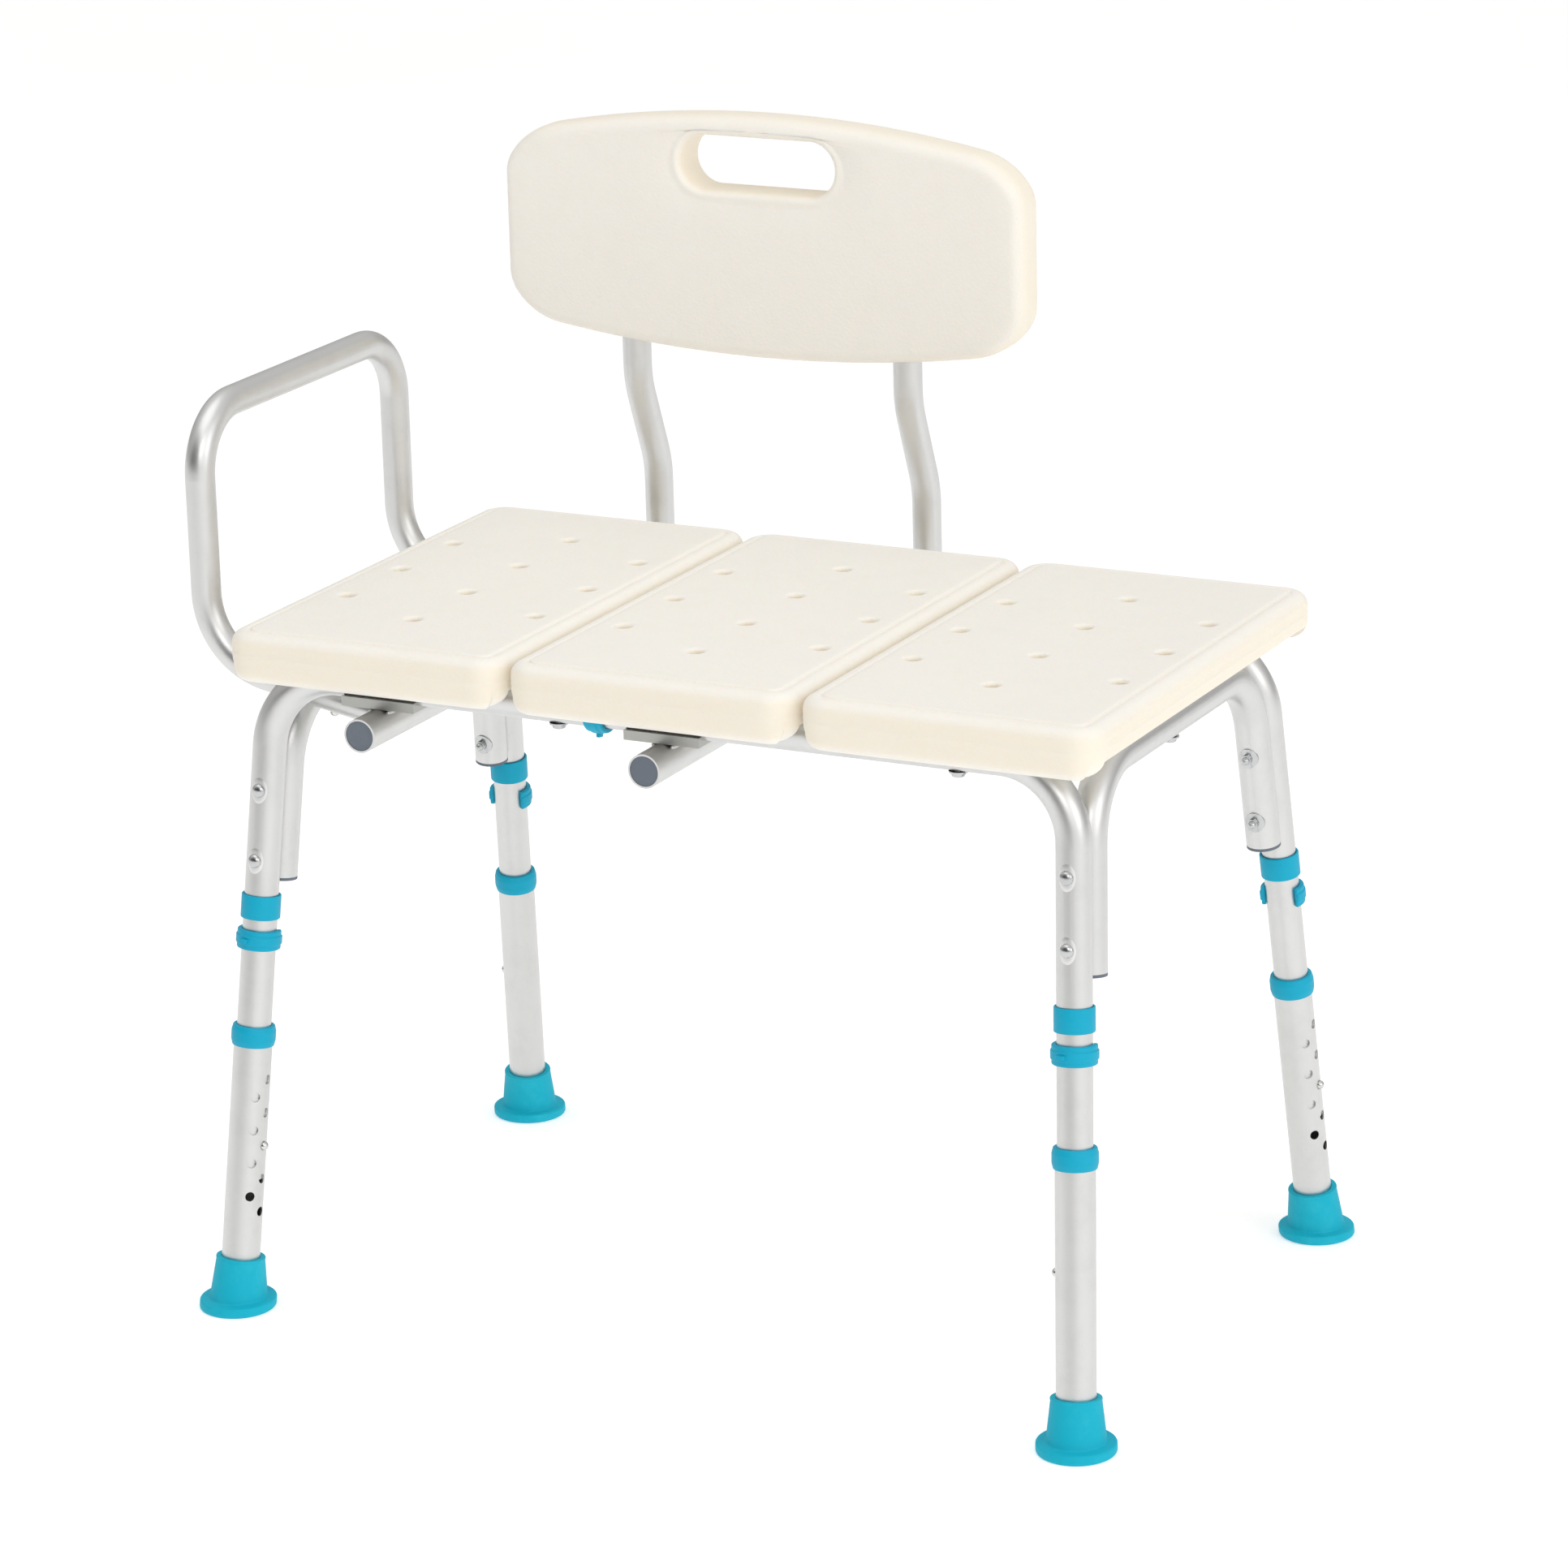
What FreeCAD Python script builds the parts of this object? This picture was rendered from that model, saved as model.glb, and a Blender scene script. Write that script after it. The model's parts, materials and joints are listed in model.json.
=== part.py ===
import FreeCAD, Part

import math
import os

V = FreeCAD.Vector

# ---------------------------------------------------------------- driving sizes, mm
# Frame: two long inverted U tubes run left to right, two short ones run front to back.
frame_tube_od = 25.4
frame_tube_wall = 1.3
foot_half_x = 342.6          # leg axis at the floor, from the middle of the four legs
foot_half_y = 225.8
splay_x = 0.0485             # how far a leg leans in per unit of height
splay_y = 0.1245
rail_rise = 168.2            # from the leg joints to the centre of the long rails
arm_nest = 8.7               # the arm rail's low tube nests this far over the left side frame's bend
side_rail_drop = 11.5        # right side frame's rail below the long rails
bend_r = 57.0                # centre line radius of every frame bend
leg_joint_z = 312.0          # where the frame legs end and the extensions start
side_leg_end_rise = {"left": 9.0, "right": 18.0}    # side legs end this far above the joints
leg_pair_gap = 0.3           # between a frame leg and the side leg bolted to it
rail_seam_x = -104.3         # where the two halves of each long rail meet
rail_clip_offset = 56.0      # from that seam to the clip that pins it
sleeve_up = 34.0             # how far the hidden sleeves reach into each tube
sleeve_down = 46.0
pin_reach = 8.0              # a clip's pin ends this far from the tube's axis
cap_lip = 2.2
cap_plug = 9.0

# Leg extensions.
low_tube_wall = 1.52
mid_tube_wall = 1.4
button_z = 125.4
hole_pitch = 25.4
holes_main = 5
holes_second = 4
second_row_deg = 42.0        # how far round the leg the second row of holes is
hole_r = 3.6
mid_tube_below_button = 26.0
low_tube_top_drop = 98.0     # top of the lower tube below the leg joint
low_tube_bottom_z = 9.0
upper_collar_wall = 1.95
upper_collar_h = 18.0
upper_collar_lip = 2.4       # stands above the joint, round the frame leg's end
mid_tube_gap = 0.6           # between the frame leg's end and the leg tube
lower_collar_wall = 2.2
lower_collar_h = 15.5
lower_collar_lip = 1.8
lower_collar_taper = 1.1
clip_drop = 31.0             # leg clip below the joint
clip_wall = 3.5
clip_h = 14.5
clip_wrap_deg = 236.0
clip_rib = 0.9
clip_rib_share = (0.8, 0.4)  # of the clip's wrap and height
clip_tab_deg = 34.0
clip_tab = (2.4, 7.0, 8.0)   # how far it stands out, its width and its height
foot_flange_wall = 14.5      # outside the lower tube
foot_flange_h = 6.0
foot_flange_edge = 1.6
foot_h = 41.0
foot_base_wall = 6.7
foot_top_wall = 3.5
foot_rim = (1.2, 4.5, 0.8)   # the top rim's overhang, height and rounded edge

# Seat: three blow-moulded panels side by side.
seat_overhang_x = 56.48      # three panels together, past the long rails' corners
seat_overhang_y = 72.97      # panel depth past the front and rear rails
panel_gap = 3.7
panel_shift_y = -4.0
seat_middle_x = 7.0
panel_height = 25.47         # from the rails to the top of the raised middle
panel_skin = 3.0
lip_drop = 12.5
lip_corner = 5.0             # the lip's lower corners are rounder than its drop by this
lip_thick = {"front": 20.0, "rear": 15.0}
plan_corner_r = 22.0
top_edge_r = 8.0
plateau_inset = 14.0
plateau_h = 0.8
drain_r = 6.0
drain_pitch_x = 79.5
drain_pitch_y = 79.7
boss_r = 11.0

# Backrest.
back_width = 440.0
back_lean_in = 29.0          # the panel stands this far in front of the posts' feet
back_thick = 36.0
back_rise = 165.8            # lower edge above the rails
back_height = 187.0
back_corner_r = 42.0
back_top_arc_r = 950.0
back_bottom_arc_r = 1140.0
back_edge_r = 12.0
slot_length = 130.0
slot_height = 42.0
slot_drop = 37.0             # slot centre below the panel's top
slot_edge_r = 6.0
post_od = 22.2
post_wall = 1.3
post_overhang_y = 95.99      # posts' feet behind the rear rail
post_top_drop = 47.0         # post ends below the panel's top
jog_drop = 28.0              # the S bend starts this far below the panel
jog_height = 72.0
jog_bend_r = 70.0
post_bend_r = 38.0
post_end_y = 40.0
back_screw_inset = (18.0, 32.0)   # from the posts' top ends and the panel's lower edge

# Receivers under the seat that take the backrest posts.
receiver_wall = 1.4
receiver_reach = {"front": 40.99, "rear": 38.99}   # past the front and rear rails
receiver_button_inset = 25.0
plug_inset = 0.6
plug_depth = 12.0
saddle_length = 60.0
saddle_side = 1.3            # saddle's front and rear faces outside the rail
saddle_under = 2.7           # saddle's thickness under the rail
saddle_wrap = 4.5            # how far it rises up the rail's sides

# Arm rail.
arm_od = 22.2
arm_wall = 1.3
arm_outside = 47.4           # uprights' axis outside the feet's
arm_rail_gap = 0.71          # between its low tubes and the long rails beside them
arm_low_drop = 4.0           # its low corners below the rails
arm_height = 184.8
arm_meet_drop = 5.25         # its axis meets the receiver this far below the middle
arm_low_bend_r = 60.0
arm_top_bend_r = 48.0
arm_spigot_length = 62.0
arm_end_gap = 4.0
arm_button_inset = 16.0      # from the spigot's free end

# Fasteners.
frame_bolt_r = 2.5
frame_bolt_head_r = 4.7
frame_bolt_head_h = 2.6
frame_bolt_rise = {"left": (81.0, 28.5), "right": (93.0, 42.5)}    # above the joints
saddle_washer_r = 7.6
saddle_washer_t = 1.1
cap_nut_r = 4.0
cap_nut_h = 3.4
seat_bolt_r = 3.0
seat_bolt_head_r = 5.0
seat_bolt_head_h = 3.2
seat_washer_r = 7.0
seat_washer_t = 1.2
seat_bolt_grip = 14.0
panel_bolts = {"left": ((40.0, 1), (100.0, 1)),
               "middle": ((-89.6, -1), (-89.6, 1), (89.6, 1)),
               "right": ((-6.5, -1), (-6.5, 1))}
screw_r = 2.0
screw_head_r = 4.0
screw_head_h = 1.8
screw_bite = 3.0             # past the post's outer wall
clip_pin_r = 3.0

# Snap buttons: a V of spring strip with a dome.
spring_t = 0.6
spring_w = 7.0
spring_gap = 0.8             # between the strip and the tube's inner wall
spring_length = 28.0
spring_tip = 6.0             # the strip carries on past the dome
button_clear = 0.2
button_rise = 0.2            # straight side above the tube before the dome

# Clearances, on the radius.
running = 0.08               # between tubes that slide on each other
fixed = 0.03                 # between pieces that never move on each other
apart = 0.35                 # between moving pieces that do not touch

X, Y, Z = V(1, 0, 0), V(0, 1, 0), V(0, 0, 1)
legs = {"fl": (-1, -1), "fr": (1, -1), "rr": (1, 1), "rl": (-1, 1)}
frame_r = frame_tube_od / 2
low_r = frame_r + running + low_tube_wall
post_r = post_od / 2
arm_r = arm_od / 2
foot_flange_r = low_r + foot_flange_wall

# Heights and depths that follow from the driving sizes.
rail_z = leg_joint_z + rail_rise
rail_y = foot_half_y - splay_y * rail_z
side_rail_z = {"left": rail_z - frame_r - arm_od + arm_nest, "right": rail_z - side_rail_drop}
side_leg_end_z = {side: leg_joint_z + rise for side, rise in side_leg_end_rise.items()}
frame_bolt_z = {side: [leg_joint_z + rise for rise in rises] for side, rises in frame_bolt_rise.items()}
low_tube_top_z = leg_joint_z - low_tube_top_drop
clip_z = leg_joint_z - clip_drop
clip_r = frame_r + clip_wall
saddle_bottom_z = rail_z - frame_r - saddle_under
saddle_top_z = rail_z - frame_r + saddle_wrap
receiver_r = post_r + running + receiver_wall
receiver_z = saddle_bottom_z - receiver_r - fixed
sleeve_r = frame_r - mid_tube_wall - running
panel_bottom_z = rail_z + frame_r + fixed
seat_top_z = panel_bottom_z + panel_height
panel_pitch = (2 * (foot_half_x - splay_x * rail_z) + seat_overhang_x) / len(panel_bolts)
panel_width = panel_pitch - panel_gap
panel_depth = 2 * rail_y + seat_overhang_y
seat_xs = [seat_middle_x + k * panel_pitch for k in (-1, 0, 1)]
receiver_xs = {"left": seat_xs[0], "right": seat_xs[1]}
back_x = (seat_xs[0] + seat_xs[1]) / 2
receiver_front_y = -rail_y - receiver_reach["front"]
receiver_rear_y = rail_y + receiver_reach["rear"]
post_foot_y = rail_y + post_overhang_y
back_plane_y = post_foot_y - back_lean_in
back_bottom_z = rail_z + back_rise
back_top_z = back_bottom_z + back_height
slot_z = back_top_z - slot_drop
post_top_z = back_top_z - post_top_drop
jog_top_z = back_bottom_z - jog_drop
jog_bottom_z = jog_top_z - jog_height
arm_x = -foot_half_x - arm_outside
arm_half_y = rail_y - frame_r - arm_r - arm_rail_gap
arm_low_z = rail_z - arm_low_drop
arm_top_z = arm_low_z + arm_height
arm_slope = (arm_low_z - receiver_z + arm_meet_drop) / (receiver_xs["left"] - arm_x)

# The shared origin is under the middle of the whole bench, on the floor.
left_most = arm_x - arm_r
right_most = foot_half_x + foot_flange_r
front_most = -foot_half_y - foot_flange_r
rear_most = post_foot_y + post_r
origin_shift = V(-(left_most + right_most) / 2, -(front_most + rear_most) / 2, 0)


# ---------------------------------------------------------------- helpers
def cylinder(r, start, end):
    return Part.makeCylinder(r, (end - start).Length, start, end - start)


def ring(r_out, r_in, start, end):
    return cylinder(r_out, start, end).cut(cylinder(r_in, start, end))


def dome(r, h, at, axis):
    """A cap of a sphere with a flat base of radius r at a point, rising h along the axis."""
    ball = (r * r + h * h) / (2 * h)
    latitude = math.degrees(math.asin((ball - h) / ball))
    return Part.makeSphere(ball, at - axis * (ball - h), axis, latitude, 90, 360)


def path_wire(points, radii):
    """Straight runs through the points, with a tangent arc at each inner corner."""
    edges = []
    at = points[0]
    for i in range(1, len(points) - 1):
        before = (points[i - 1] - points[i]).normalize()
        after = (points[i + 1] - points[i]).normalize()
        half = before.getAngle(after) / 2
        reach = radii[i - 1] / math.tan(half)
        a = points[i] + before * reach
        b = points[i] + after * reach
        centre = points[i] + (before + after).normalize() * (radii[i - 1] / math.sin(half))
        mid = centre + (points[i] - centre).normalize() * radii[i - 1]
        edges += [Part.makeLine(at, a), Part.Arc(a, mid, b).toShape()]
        at = b
    edges.append(Part.makeLine(at, points[-1]))
    return Part.Wire(edges)


def bent_rod(r, points, radii):
    wire = path_wire(points, radii)
    start = Part.Wire([Part.makeCircle(r, points[0], points[1] - points[0])])
    return wire.makePipeShell([start], True, False)


def bent_tube(r, wall, points, radii):
    return bent_rod(r, points, radii).cut(bent_rod(r - wall, points, radii))


def revolve(profile, at, axis):
    """Spins a closed outline of (radius, height) pairs about the axis through a point."""
    side = axis.cross(X if abs(axis.dot(X)) < 0.9 else Y).normalize()
    pts = [at + side * r + axis * h for r, h in profile]
    face = Part.Face(Part.makePolygon(pts + [pts[0]]))
    return face.revolve(at, axis, 360)


def round_box(size, centre, along, radius_of):
    """A box whose edges along one direction are rounded by radius_of(edge middle)."""
    box = Part.makeBox(size.x, size.y, size.z, centre - size * 0.5)
    groups = {}
    for edge in box.Edges:
        if abs(edge.tangentAt(edge.FirstParameter).dot(along)) > 0.9:
            groups.setdefault(radius_of(edge.CenterOfMass), []).append(edge.CenterOfMass)
    for r, middles in groups.items():
        if r:
            near = [e for e in box.Edges if any((e.CenterOfMass - m).Length < 0.01 for m in middles)]
            box = box.makeFillet(r, near)
    return box


def group(solids):
    return Part.makeCompound(solids)


nodes = {}


def keep(name, shape):
    shape = shape.copy()
    shape.translate(origin_shift)
    nodes[name] = shape


# ---------------------------------------------------------------- leg geometry
def leg_axis(sx, sy):
    foot = V(sx * foot_half_x, sy * foot_half_y, 0)
    up = V(-sx * splay_x, -sy * splay_y, 1).normalize()
    return foot, up


def on_leg(foot, up, z):
    return foot + up * (z / up.z)


def across(up, direction):
    """The part of a direction that is square to the leg."""
    return (direction - up * direction.dot(up)).normalize()


side_leg_dy = (frame_tube_od + leg_pair_gap) / math.cos(math.atan(splay_y))
corner = {n: on_leg(*leg_axis(*s), rail_z) for n, s in legs.items()}
side_of = {n: "left" if s[0] < 0 else "right" for n, s in legs.items()}

bolt_lines = {}
for name, (sx, sy) in legs.items():
    foot, up = leg_axis(sx, sy)
    inward = across(up, Y * -sy)
    bolt_lines[name] = [(on_leg(foot, up, z), inward) for z in frame_bolt_z[side_of[name]]]

panel_x = dict(zip(("left", "middle", "right"), seat_xs))
seat_bolts_at = [V(panel_x[p] + dx, sy * corner["rr"].y, rail_z)
                 for p, spots in panel_bolts.items() for dx, sy in spots]
side_bolts_at = []
for name, z in side_rail_z.items():
    middle = on_leg(*leg_axis(1 if name == "right" else -1, 1), z)
    side_bolts_at.append(V(middle.x, 0, z))


def bolt_holes(lines, r, length):
    return group([cylinder(r, p - d * frame_tube_od, p + d * length) for p, d in lines])


frame_holes = {n: bolt_holes(lines, frame_bolt_r + running, 3 * frame_tube_od)
               for n, lines in bolt_lines.items()}
seat_holes = group([cylinder(seat_bolt_r + running, p - Z * frame_tube_od, p + Z * frame_tube_od)
                    for p in seat_bolts_at + side_bolts_at])


# ---------------------------------------------------------------- frame tubes
clip_rail_x = rail_seam_x + rail_clip_offset
rail_clip_spots = {"front": V(clip_rail_x, -corner["rr"].y, rail_z),
                   "rear": V(clip_rail_x, corner["rr"].y, rail_z)}


def pin_hole(at, side):
    return cylinder(clip_pin_r + running, at, at + side * frame_tube_od)


for where, (left_leg, right_leg) in {"front": ("fl", "fr"), "rear": ("rl", "rr")}.items():
    for leg in (left_leg, right_leg):
        foot, up = leg_axis(*legs[leg])
        seam = V(rail_seam_x + math.copysign(fixed, legs[leg][0]), corner[leg].y, rail_z)
        tube = bent_tube(frame_r, frame_tube_wall,
                         [on_leg(foot, up, leg_joint_z), corner[leg], seam], [bend_r])
        tube = tube.cut(frame_holes[leg]).cut(seat_holes)
        tube = tube.cut(pin_hole(rail_clip_spots[where], Z * -1))
        keep(f"{where}_rail_{side_of[leg]}", tube)

side_leg_lines = {}
for side, (front_leg, rear_leg) in {"left": ("fl", "rl"), "right": ("fr", "rr")}.items():
    points = []
    for leg in (front_leg, rear_leg):
        foot, up = leg_axis(*legs[leg])
        base = foot - Y * legs[leg][1] * side_leg_dy
        side_leg_lines[leg] = (base, up)
        low, high = on_leg(base, up, side_leg_end_z[side]), on_leg(base, up, side_rail_z[side])
        points += [low, high] if leg == front_leg else [high, low]
    tube = bent_tube(frame_r, frame_tube_wall, points, [bend_r, bend_r])
    for leg in (front_leg, rear_leg):
        tube = tube.cut(frame_holes[leg])
    keep(f"side_frame_{side}", tube.cut(seat_holes))

cap_plug_r = frame_r - frame_tube_wall - fixed
caps = []
for name, (base, up) in side_leg_lines.items():
    end = on_leg(base, up, side_leg_end_z[side_of[name]]) - up * fixed
    caps.append(cylinder(frame_r, end - up * cap_lip, end).fuse(
        cylinder(cap_plug_r, end - up * cap_lip, end + up * cap_plug)))
keep("frame_end_caps", group(caps))

# Sleeves inside the tubes: one in each leg joint, one across each rail seam.
sleeves = []
for name, (sx, sy) in legs.items():
    foot, up = leg_axis(sx, sy)
    joint = on_leg(foot, up, leg_joint_z)
    sleeve = ring(sleeve_r, sleeve_r - frame_tube_wall, joint - up * sleeve_down, joint + up * sleeve_up)
    sleeve = sleeve.cut(pin_hole(on_leg(foot, up, clip_z), across(up, Y * sy)))
    sleeves.append(sleeve.cut(frame_holes[name]))
for spot in rail_clip_spots.values():
    start = V(rail_seam_x - sleeve_down, spot.y, spot.z)
    sleeve = ring(sleeve_r, sleeve_r - frame_tube_wall, start, V(clip_rail_x + sleeve_up / 2, spot.y, spot.z))
    sleeves.append(sleeve.cut(pin_hole(spot, Z * -1)).cut(seat_holes))
keep("coupling_sleeves", group(sleeves))

# ---------------------------------------------------------------- frame bolts
bolts, washers, nuts = [], [], []
leg_pitch = frame_tube_od + leg_pair_gap
for name, lines in bolt_lines.items():
    base, up = side_leg_lines[name]
    for p, d in lines:
        head_at = p - d * (frame_r + fixed)
        head = dome(frame_bolt_head_r, frame_bolt_head_h, head_at, d * -1)
        nut_at = p + d * (leg_pitch + frame_r + saddle_washer_t + 2 * fixed)
        bolts.append(head.fuse(cylinder(frame_bolt_r, head_at, nut_at + d * (cap_nut_h - 1))))
        around = (up * 2 * saddle_washer_r)
        middle = p + d * leg_pitch
        saddle = ring(frame_r + fixed + saddle_washer_t, frame_r + fixed, middle - around, middle + around)
        saddle = saddle.common(cylinder(saddle_washer_r, middle, middle + d * frame_tube_od))
        washers.append(saddle.cut(cylinder(frame_bolt_r + fixed, middle, nut_at)))
        nut = cylinder(cap_nut_r, nut_at, nut_at + d * cap_nut_h)
        nut = nut.fuse(dome(cap_nut_r - 1, cap_nut_r - 1, nut_at + d * cap_nut_h, d))
        nuts.append(nut.cut(cylinder(frame_bolt_r + fixed, nut_at, nut_at + d * (cap_nut_h - 0.9))))
keep("frame_bolts", group(bolts))
keep("saddle_washers", group(washers))
keep("cap_nuts", group(nuts))

# ---------------------------------------------------------------- seat panels
base_top_z = seat_top_z - plateau_h
panel_front_y = panel_shift_y - panel_depth / 2
panel_rear_y = panel_shift_y + panel_depth / 2
lip_bottom_z = panel_bottom_z - lip_drop


def drain_spots(cx):
    spots = []
    for column, count in ((-1, 3), (0, 4), (1, 3)):
        for i in range(count):
            y = panel_shift_y + (i - (count - 1) / 2) * drain_pitch_y
            spots.append(V(cx + column * drain_pitch_x, y, 0))
    return spots


def seat_panel(cx, bolt_spots, side_spot):
    high = V(panel_width, panel_depth, base_top_z - panel_bottom_z)
    mid = V(cx, panel_shift_y, (base_top_z + panel_bottom_z) / 2)
    slab = round_box(high, mid, X, lambda m: top_edge_r if m.z > mid.z else 0)
    for thick, y in ((lip_thick["front"], panel_front_y), (-lip_thick["rear"], panel_rear_y)):
        lip_h = base_top_z - top_edge_r - lip_bottom_z
        lip_mid = V(cx, y + thick / 2, lip_bottom_z + lip_h / 2)
        slab = slab.fuse(round_box(V(panel_width, abs(thick), lip_h), lip_mid, X,
                                   lambda m: abs(thick) * 0.48 if m.z < lip_mid.z else 0))
    full = V(panel_width, panel_depth, base_top_z - lip_bottom_z)
    centre = V(cx, panel_shift_y, (base_top_z + lip_bottom_z) / 2)
    slab = slab.common(round_box(full, centre, Z, lambda m: plan_corner_r))
    slab = slab.common(round_box(
        full, centre, Y, lambda m: top_edge_r if m.z > centre.z else lip_drop + lip_corner))
    top_size = V(panel_width - 2 * plateau_inset, panel_depth - 2 * plateau_inset, 2 * plateau_h)
    top = round_box(top_size, V(cx, panel_shift_y, base_top_z), Z,
                    lambda m: plan_corner_r - plateau_inset / 2)
    body = slab.fuse(top)
    inner = V(panel_width - 2 * top_edge_r, panel_depth - 2 * lip_thick["front"],
              base_top_z - panel_bottom_z - 2 * panel_skin)
    hollow = round_box(inner, mid, Z, lambda m: plan_corner_r / 2)
    deep = Z * (base_top_z - panel_bottom_z + lip_drop)
    for spot in drain_spots(cx):
        spot = spot + Z * lip_bottom_z
        hollow = hollow.cut(cylinder(drain_r + panel_skin, spot, spot + deep))
    for spot in bolt_spots + side_spot:
        at = V(spot.x, spot.y, lip_bottom_z)
        hollow = hollow.cut(cylinder(boss_r, at, at + deep))
    for spot in side_spot:
        at = spot + Z * (frame_r + fixed)
        body = body.fuse(cylinder(boss_r, at, V(at.x, at.y, panel_bottom_z + panel_skin)))
    body = body.cut(hollow)
    for spot in drain_spots(cx):
        body = body.cut(cylinder(drain_r, spot + Z * lip_bottom_z, spot + Z * (seat_top_z + 1)))
    for spot in bolt_spots + side_spot:
        top_of_hole = V(spot.x, spot.y, panel_bottom_z + seat_bolt_grip + 1)
        body = body.cut(cylinder(seat_bolt_r + fixed, spot, top_of_hole))
    return body


for name, cx in panel_x.items():
    near = [p for p in seat_bolts_at if abs(p.x - cx) < panel_width / 2]
    side = [p for p in side_bolts_at if abs(p.x - cx) < panel_width / 2]
    keep(f"seat_panel_{name}", seat_panel(cx, near, side))

seat_bolts, seat_washers = [], []
for p in seat_bolts_at + side_bolts_at:
    under = p - Z * (frame_r + fixed)
    washer = ring(seat_washer_r, seat_bolt_r + fixed, under - Z * seat_washer_t, under)
    seat_washers.append(washer)
    head_top = under - Z * (seat_washer_t + fixed)
    head = cylinder(seat_bolt_head_r, head_top - Z * seat_bolt_head_h, head_top)
    lower = head_top.z - seat_bolt_head_h
    head = head.makeFillet(1.4, [e for e in head.Edges
                                 if abs(e.CenterOfMass.z - lower) < 0.01 and e.isClosed()])
    end = V(p.x, p.y, panel_bottom_z + seat_bolt_grip)
    seat_bolts.append(head.fuse(cylinder(seat_bolt_r, head_top, end)))
keep("seat_bolts", group(seat_bolts))
keep("seat_washers", group(seat_washers))

# ---------------------------------------------------------------- receivers under the seat
saddles, plugs, spigots = [], [], []
button_y = receiver_rear_y - receiver_button_inset
arm_run = V(1, 0, -arm_slope).normalize()
spigot_axes = {w: (V(arm_x, s * arm_half_y, arm_low_z), arm_run) for w, s in (("front", -1), ("rear", 1))}
for side, rx in receiver_xs.items():
    front, rear = V(rx, receiver_front_y, receiver_z), V(rx, receiver_rear_y, receiver_z)
    tube = ring(receiver_r, receiver_r - receiver_wall, front, rear)
    at = V(rx, button_y, receiver_z)
    tube = tube.cut(cylinder(hole_r, at, at - Z * frame_tube_od))
    keep(f"receiver_tube_{side}", tube)
    for y in (-corner["rr"].y, corner["rr"].y):
        depth = frame_tube_od + 2 * saddle_side
        block = Part.makeBox(saddle_length, depth, saddle_top_z - saddle_bottom_z,
                             V(rx - saddle_length / 2, y - depth / 2, saddle_bottom_z))
        rail_end = X * saddle_length
        rail_middle = V(rx, y, rail_z)
        saddles.append(block.cut(cylinder(frame_r + fixed, rail_middle - rail_end, rail_middle + rail_end)))
    plug_r = receiver_r - receiver_wall - fixed
    plugs.append(cylinder(plug_r, front + Y * plug_inset, front + Y * plug_depth))
keep("receiver_saddles", group(saddles))
keep("receiver_plugs", group(plugs))

arm_in_r = arm_r - arm_wall
for at, run in spigot_axes.values():
    t_end = (receiver_xs["left"] - arm_x) / run.x
    far, near = at + run * t_end, at + run * (t_end - receiver_r - arm_spigot_length)
    spigot = ring(arm_in_r - running, arm_in_r - running - arm_wall, near, far)
    beside = Y * arm_od
    middle = V(far.x, at.y, receiver_z)
    spigot = spigot.cut(cylinder(receiver_r + fixed, middle - beside, middle + beside))
    hole_at = near + run * arm_button_inset
    down = across(run, Z * -1)
    spigots.append(spigot.cut(cylinder(hole_r, hole_at, hole_at + down * arm_od)))
keep("arm_spigots", group(spigots))


# ---------------------------------------------------------------- snap buttons and clips
button_r = hole_r - button_clear


def snap_button(at, axis, side, r_in, r_out):
    """A V of spring strip inside the tube, with a dome through both walls."""
    wide = axis.cross(side).normalize() * spring_w
    tip, half, back = r_in - spring_gap, spring_t / 2, spring_length + 2
    outline = [(tip, spring_tip), (tip - spring_t, spring_tip),
               (half, -spring_length), (-half, -spring_length),
               (spring_t - tip, spring_tip), (-tip, spring_tip), (-spring_t, -back), (spring_t, -back)]
    pts = [at + side * u + axis * v - wide * 0.5 for u, v in outline]
    spring = Part.Face(Part.makePolygon(pts + [pts[0]])).extrude(wide)
    crown = at + side * (r_out + button_rise)
    root = tip - (tip - half) * spring_tip / (spring_tip + spring_length) - spring_t
    button = cylinder(button_r, at + side * root, crown)
    return spring.fuse([button, dome(button_r, button_r, crown, side)])


def clip_sector(at, axis, face, r_out, r_in, height, wrap):
    """A ring open on the side away from face."""
    start = FreeCAD.Rotation(axis, -wrap / 2).multVec(face)
    low, high = at - axis * height / 2, at + axis * height / 2
    pts = [low + start * r_in, low + start * r_out, high + start * r_out, high + start * r_in]
    return Part.Face(Part.makePolygon(pts + [pts[0]])).revolve(at, axis, wrap)


def pin_clip(at, axis, face):
    """A spring band with a rib, a pull tab and a pin that locks two tubes."""
    inner = frame_r + apart / 2
    band = clip_sector(at, axis, face, clip_r, inner, clip_h, clip_wrap_deg)
    rib_wrap, rib_h = clip_rib_share
    rib = clip_sector(at, axis, face, clip_r + clip_rib, inner, clip_h * rib_h, clip_wrap_deg * rib_wrap)
    root = clip_wall / 2
    pin = cylinder(clip_pin_r, at + face * pin_reach, at + face * (inner + root))
    turned = FreeCAD.Rotation(axis, clip_tab_deg).multVec(face)
    tab_out, tab_w, tab_h = clip_tab
    beside = axis.cross(turned) * tab_w
    tab_at = at + turned * (clip_r - root) - beside * 0.5 - axis * (tab_h / 2)
    out, high = turned * (tab_out + root), axis * tab_h
    pts = [tab_at, tab_at + out, tab_at + out + high, tab_at + high]
    tab = Part.Face(Part.makePolygon(pts + [pts[0]])).extrude(beside)
    return band.fuse([rib, pin, tab])


for where, spot in rail_clip_spots.items():
    keep(f"rail_clip_{where}", pin_clip(spot, X, Z * -1))

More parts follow.
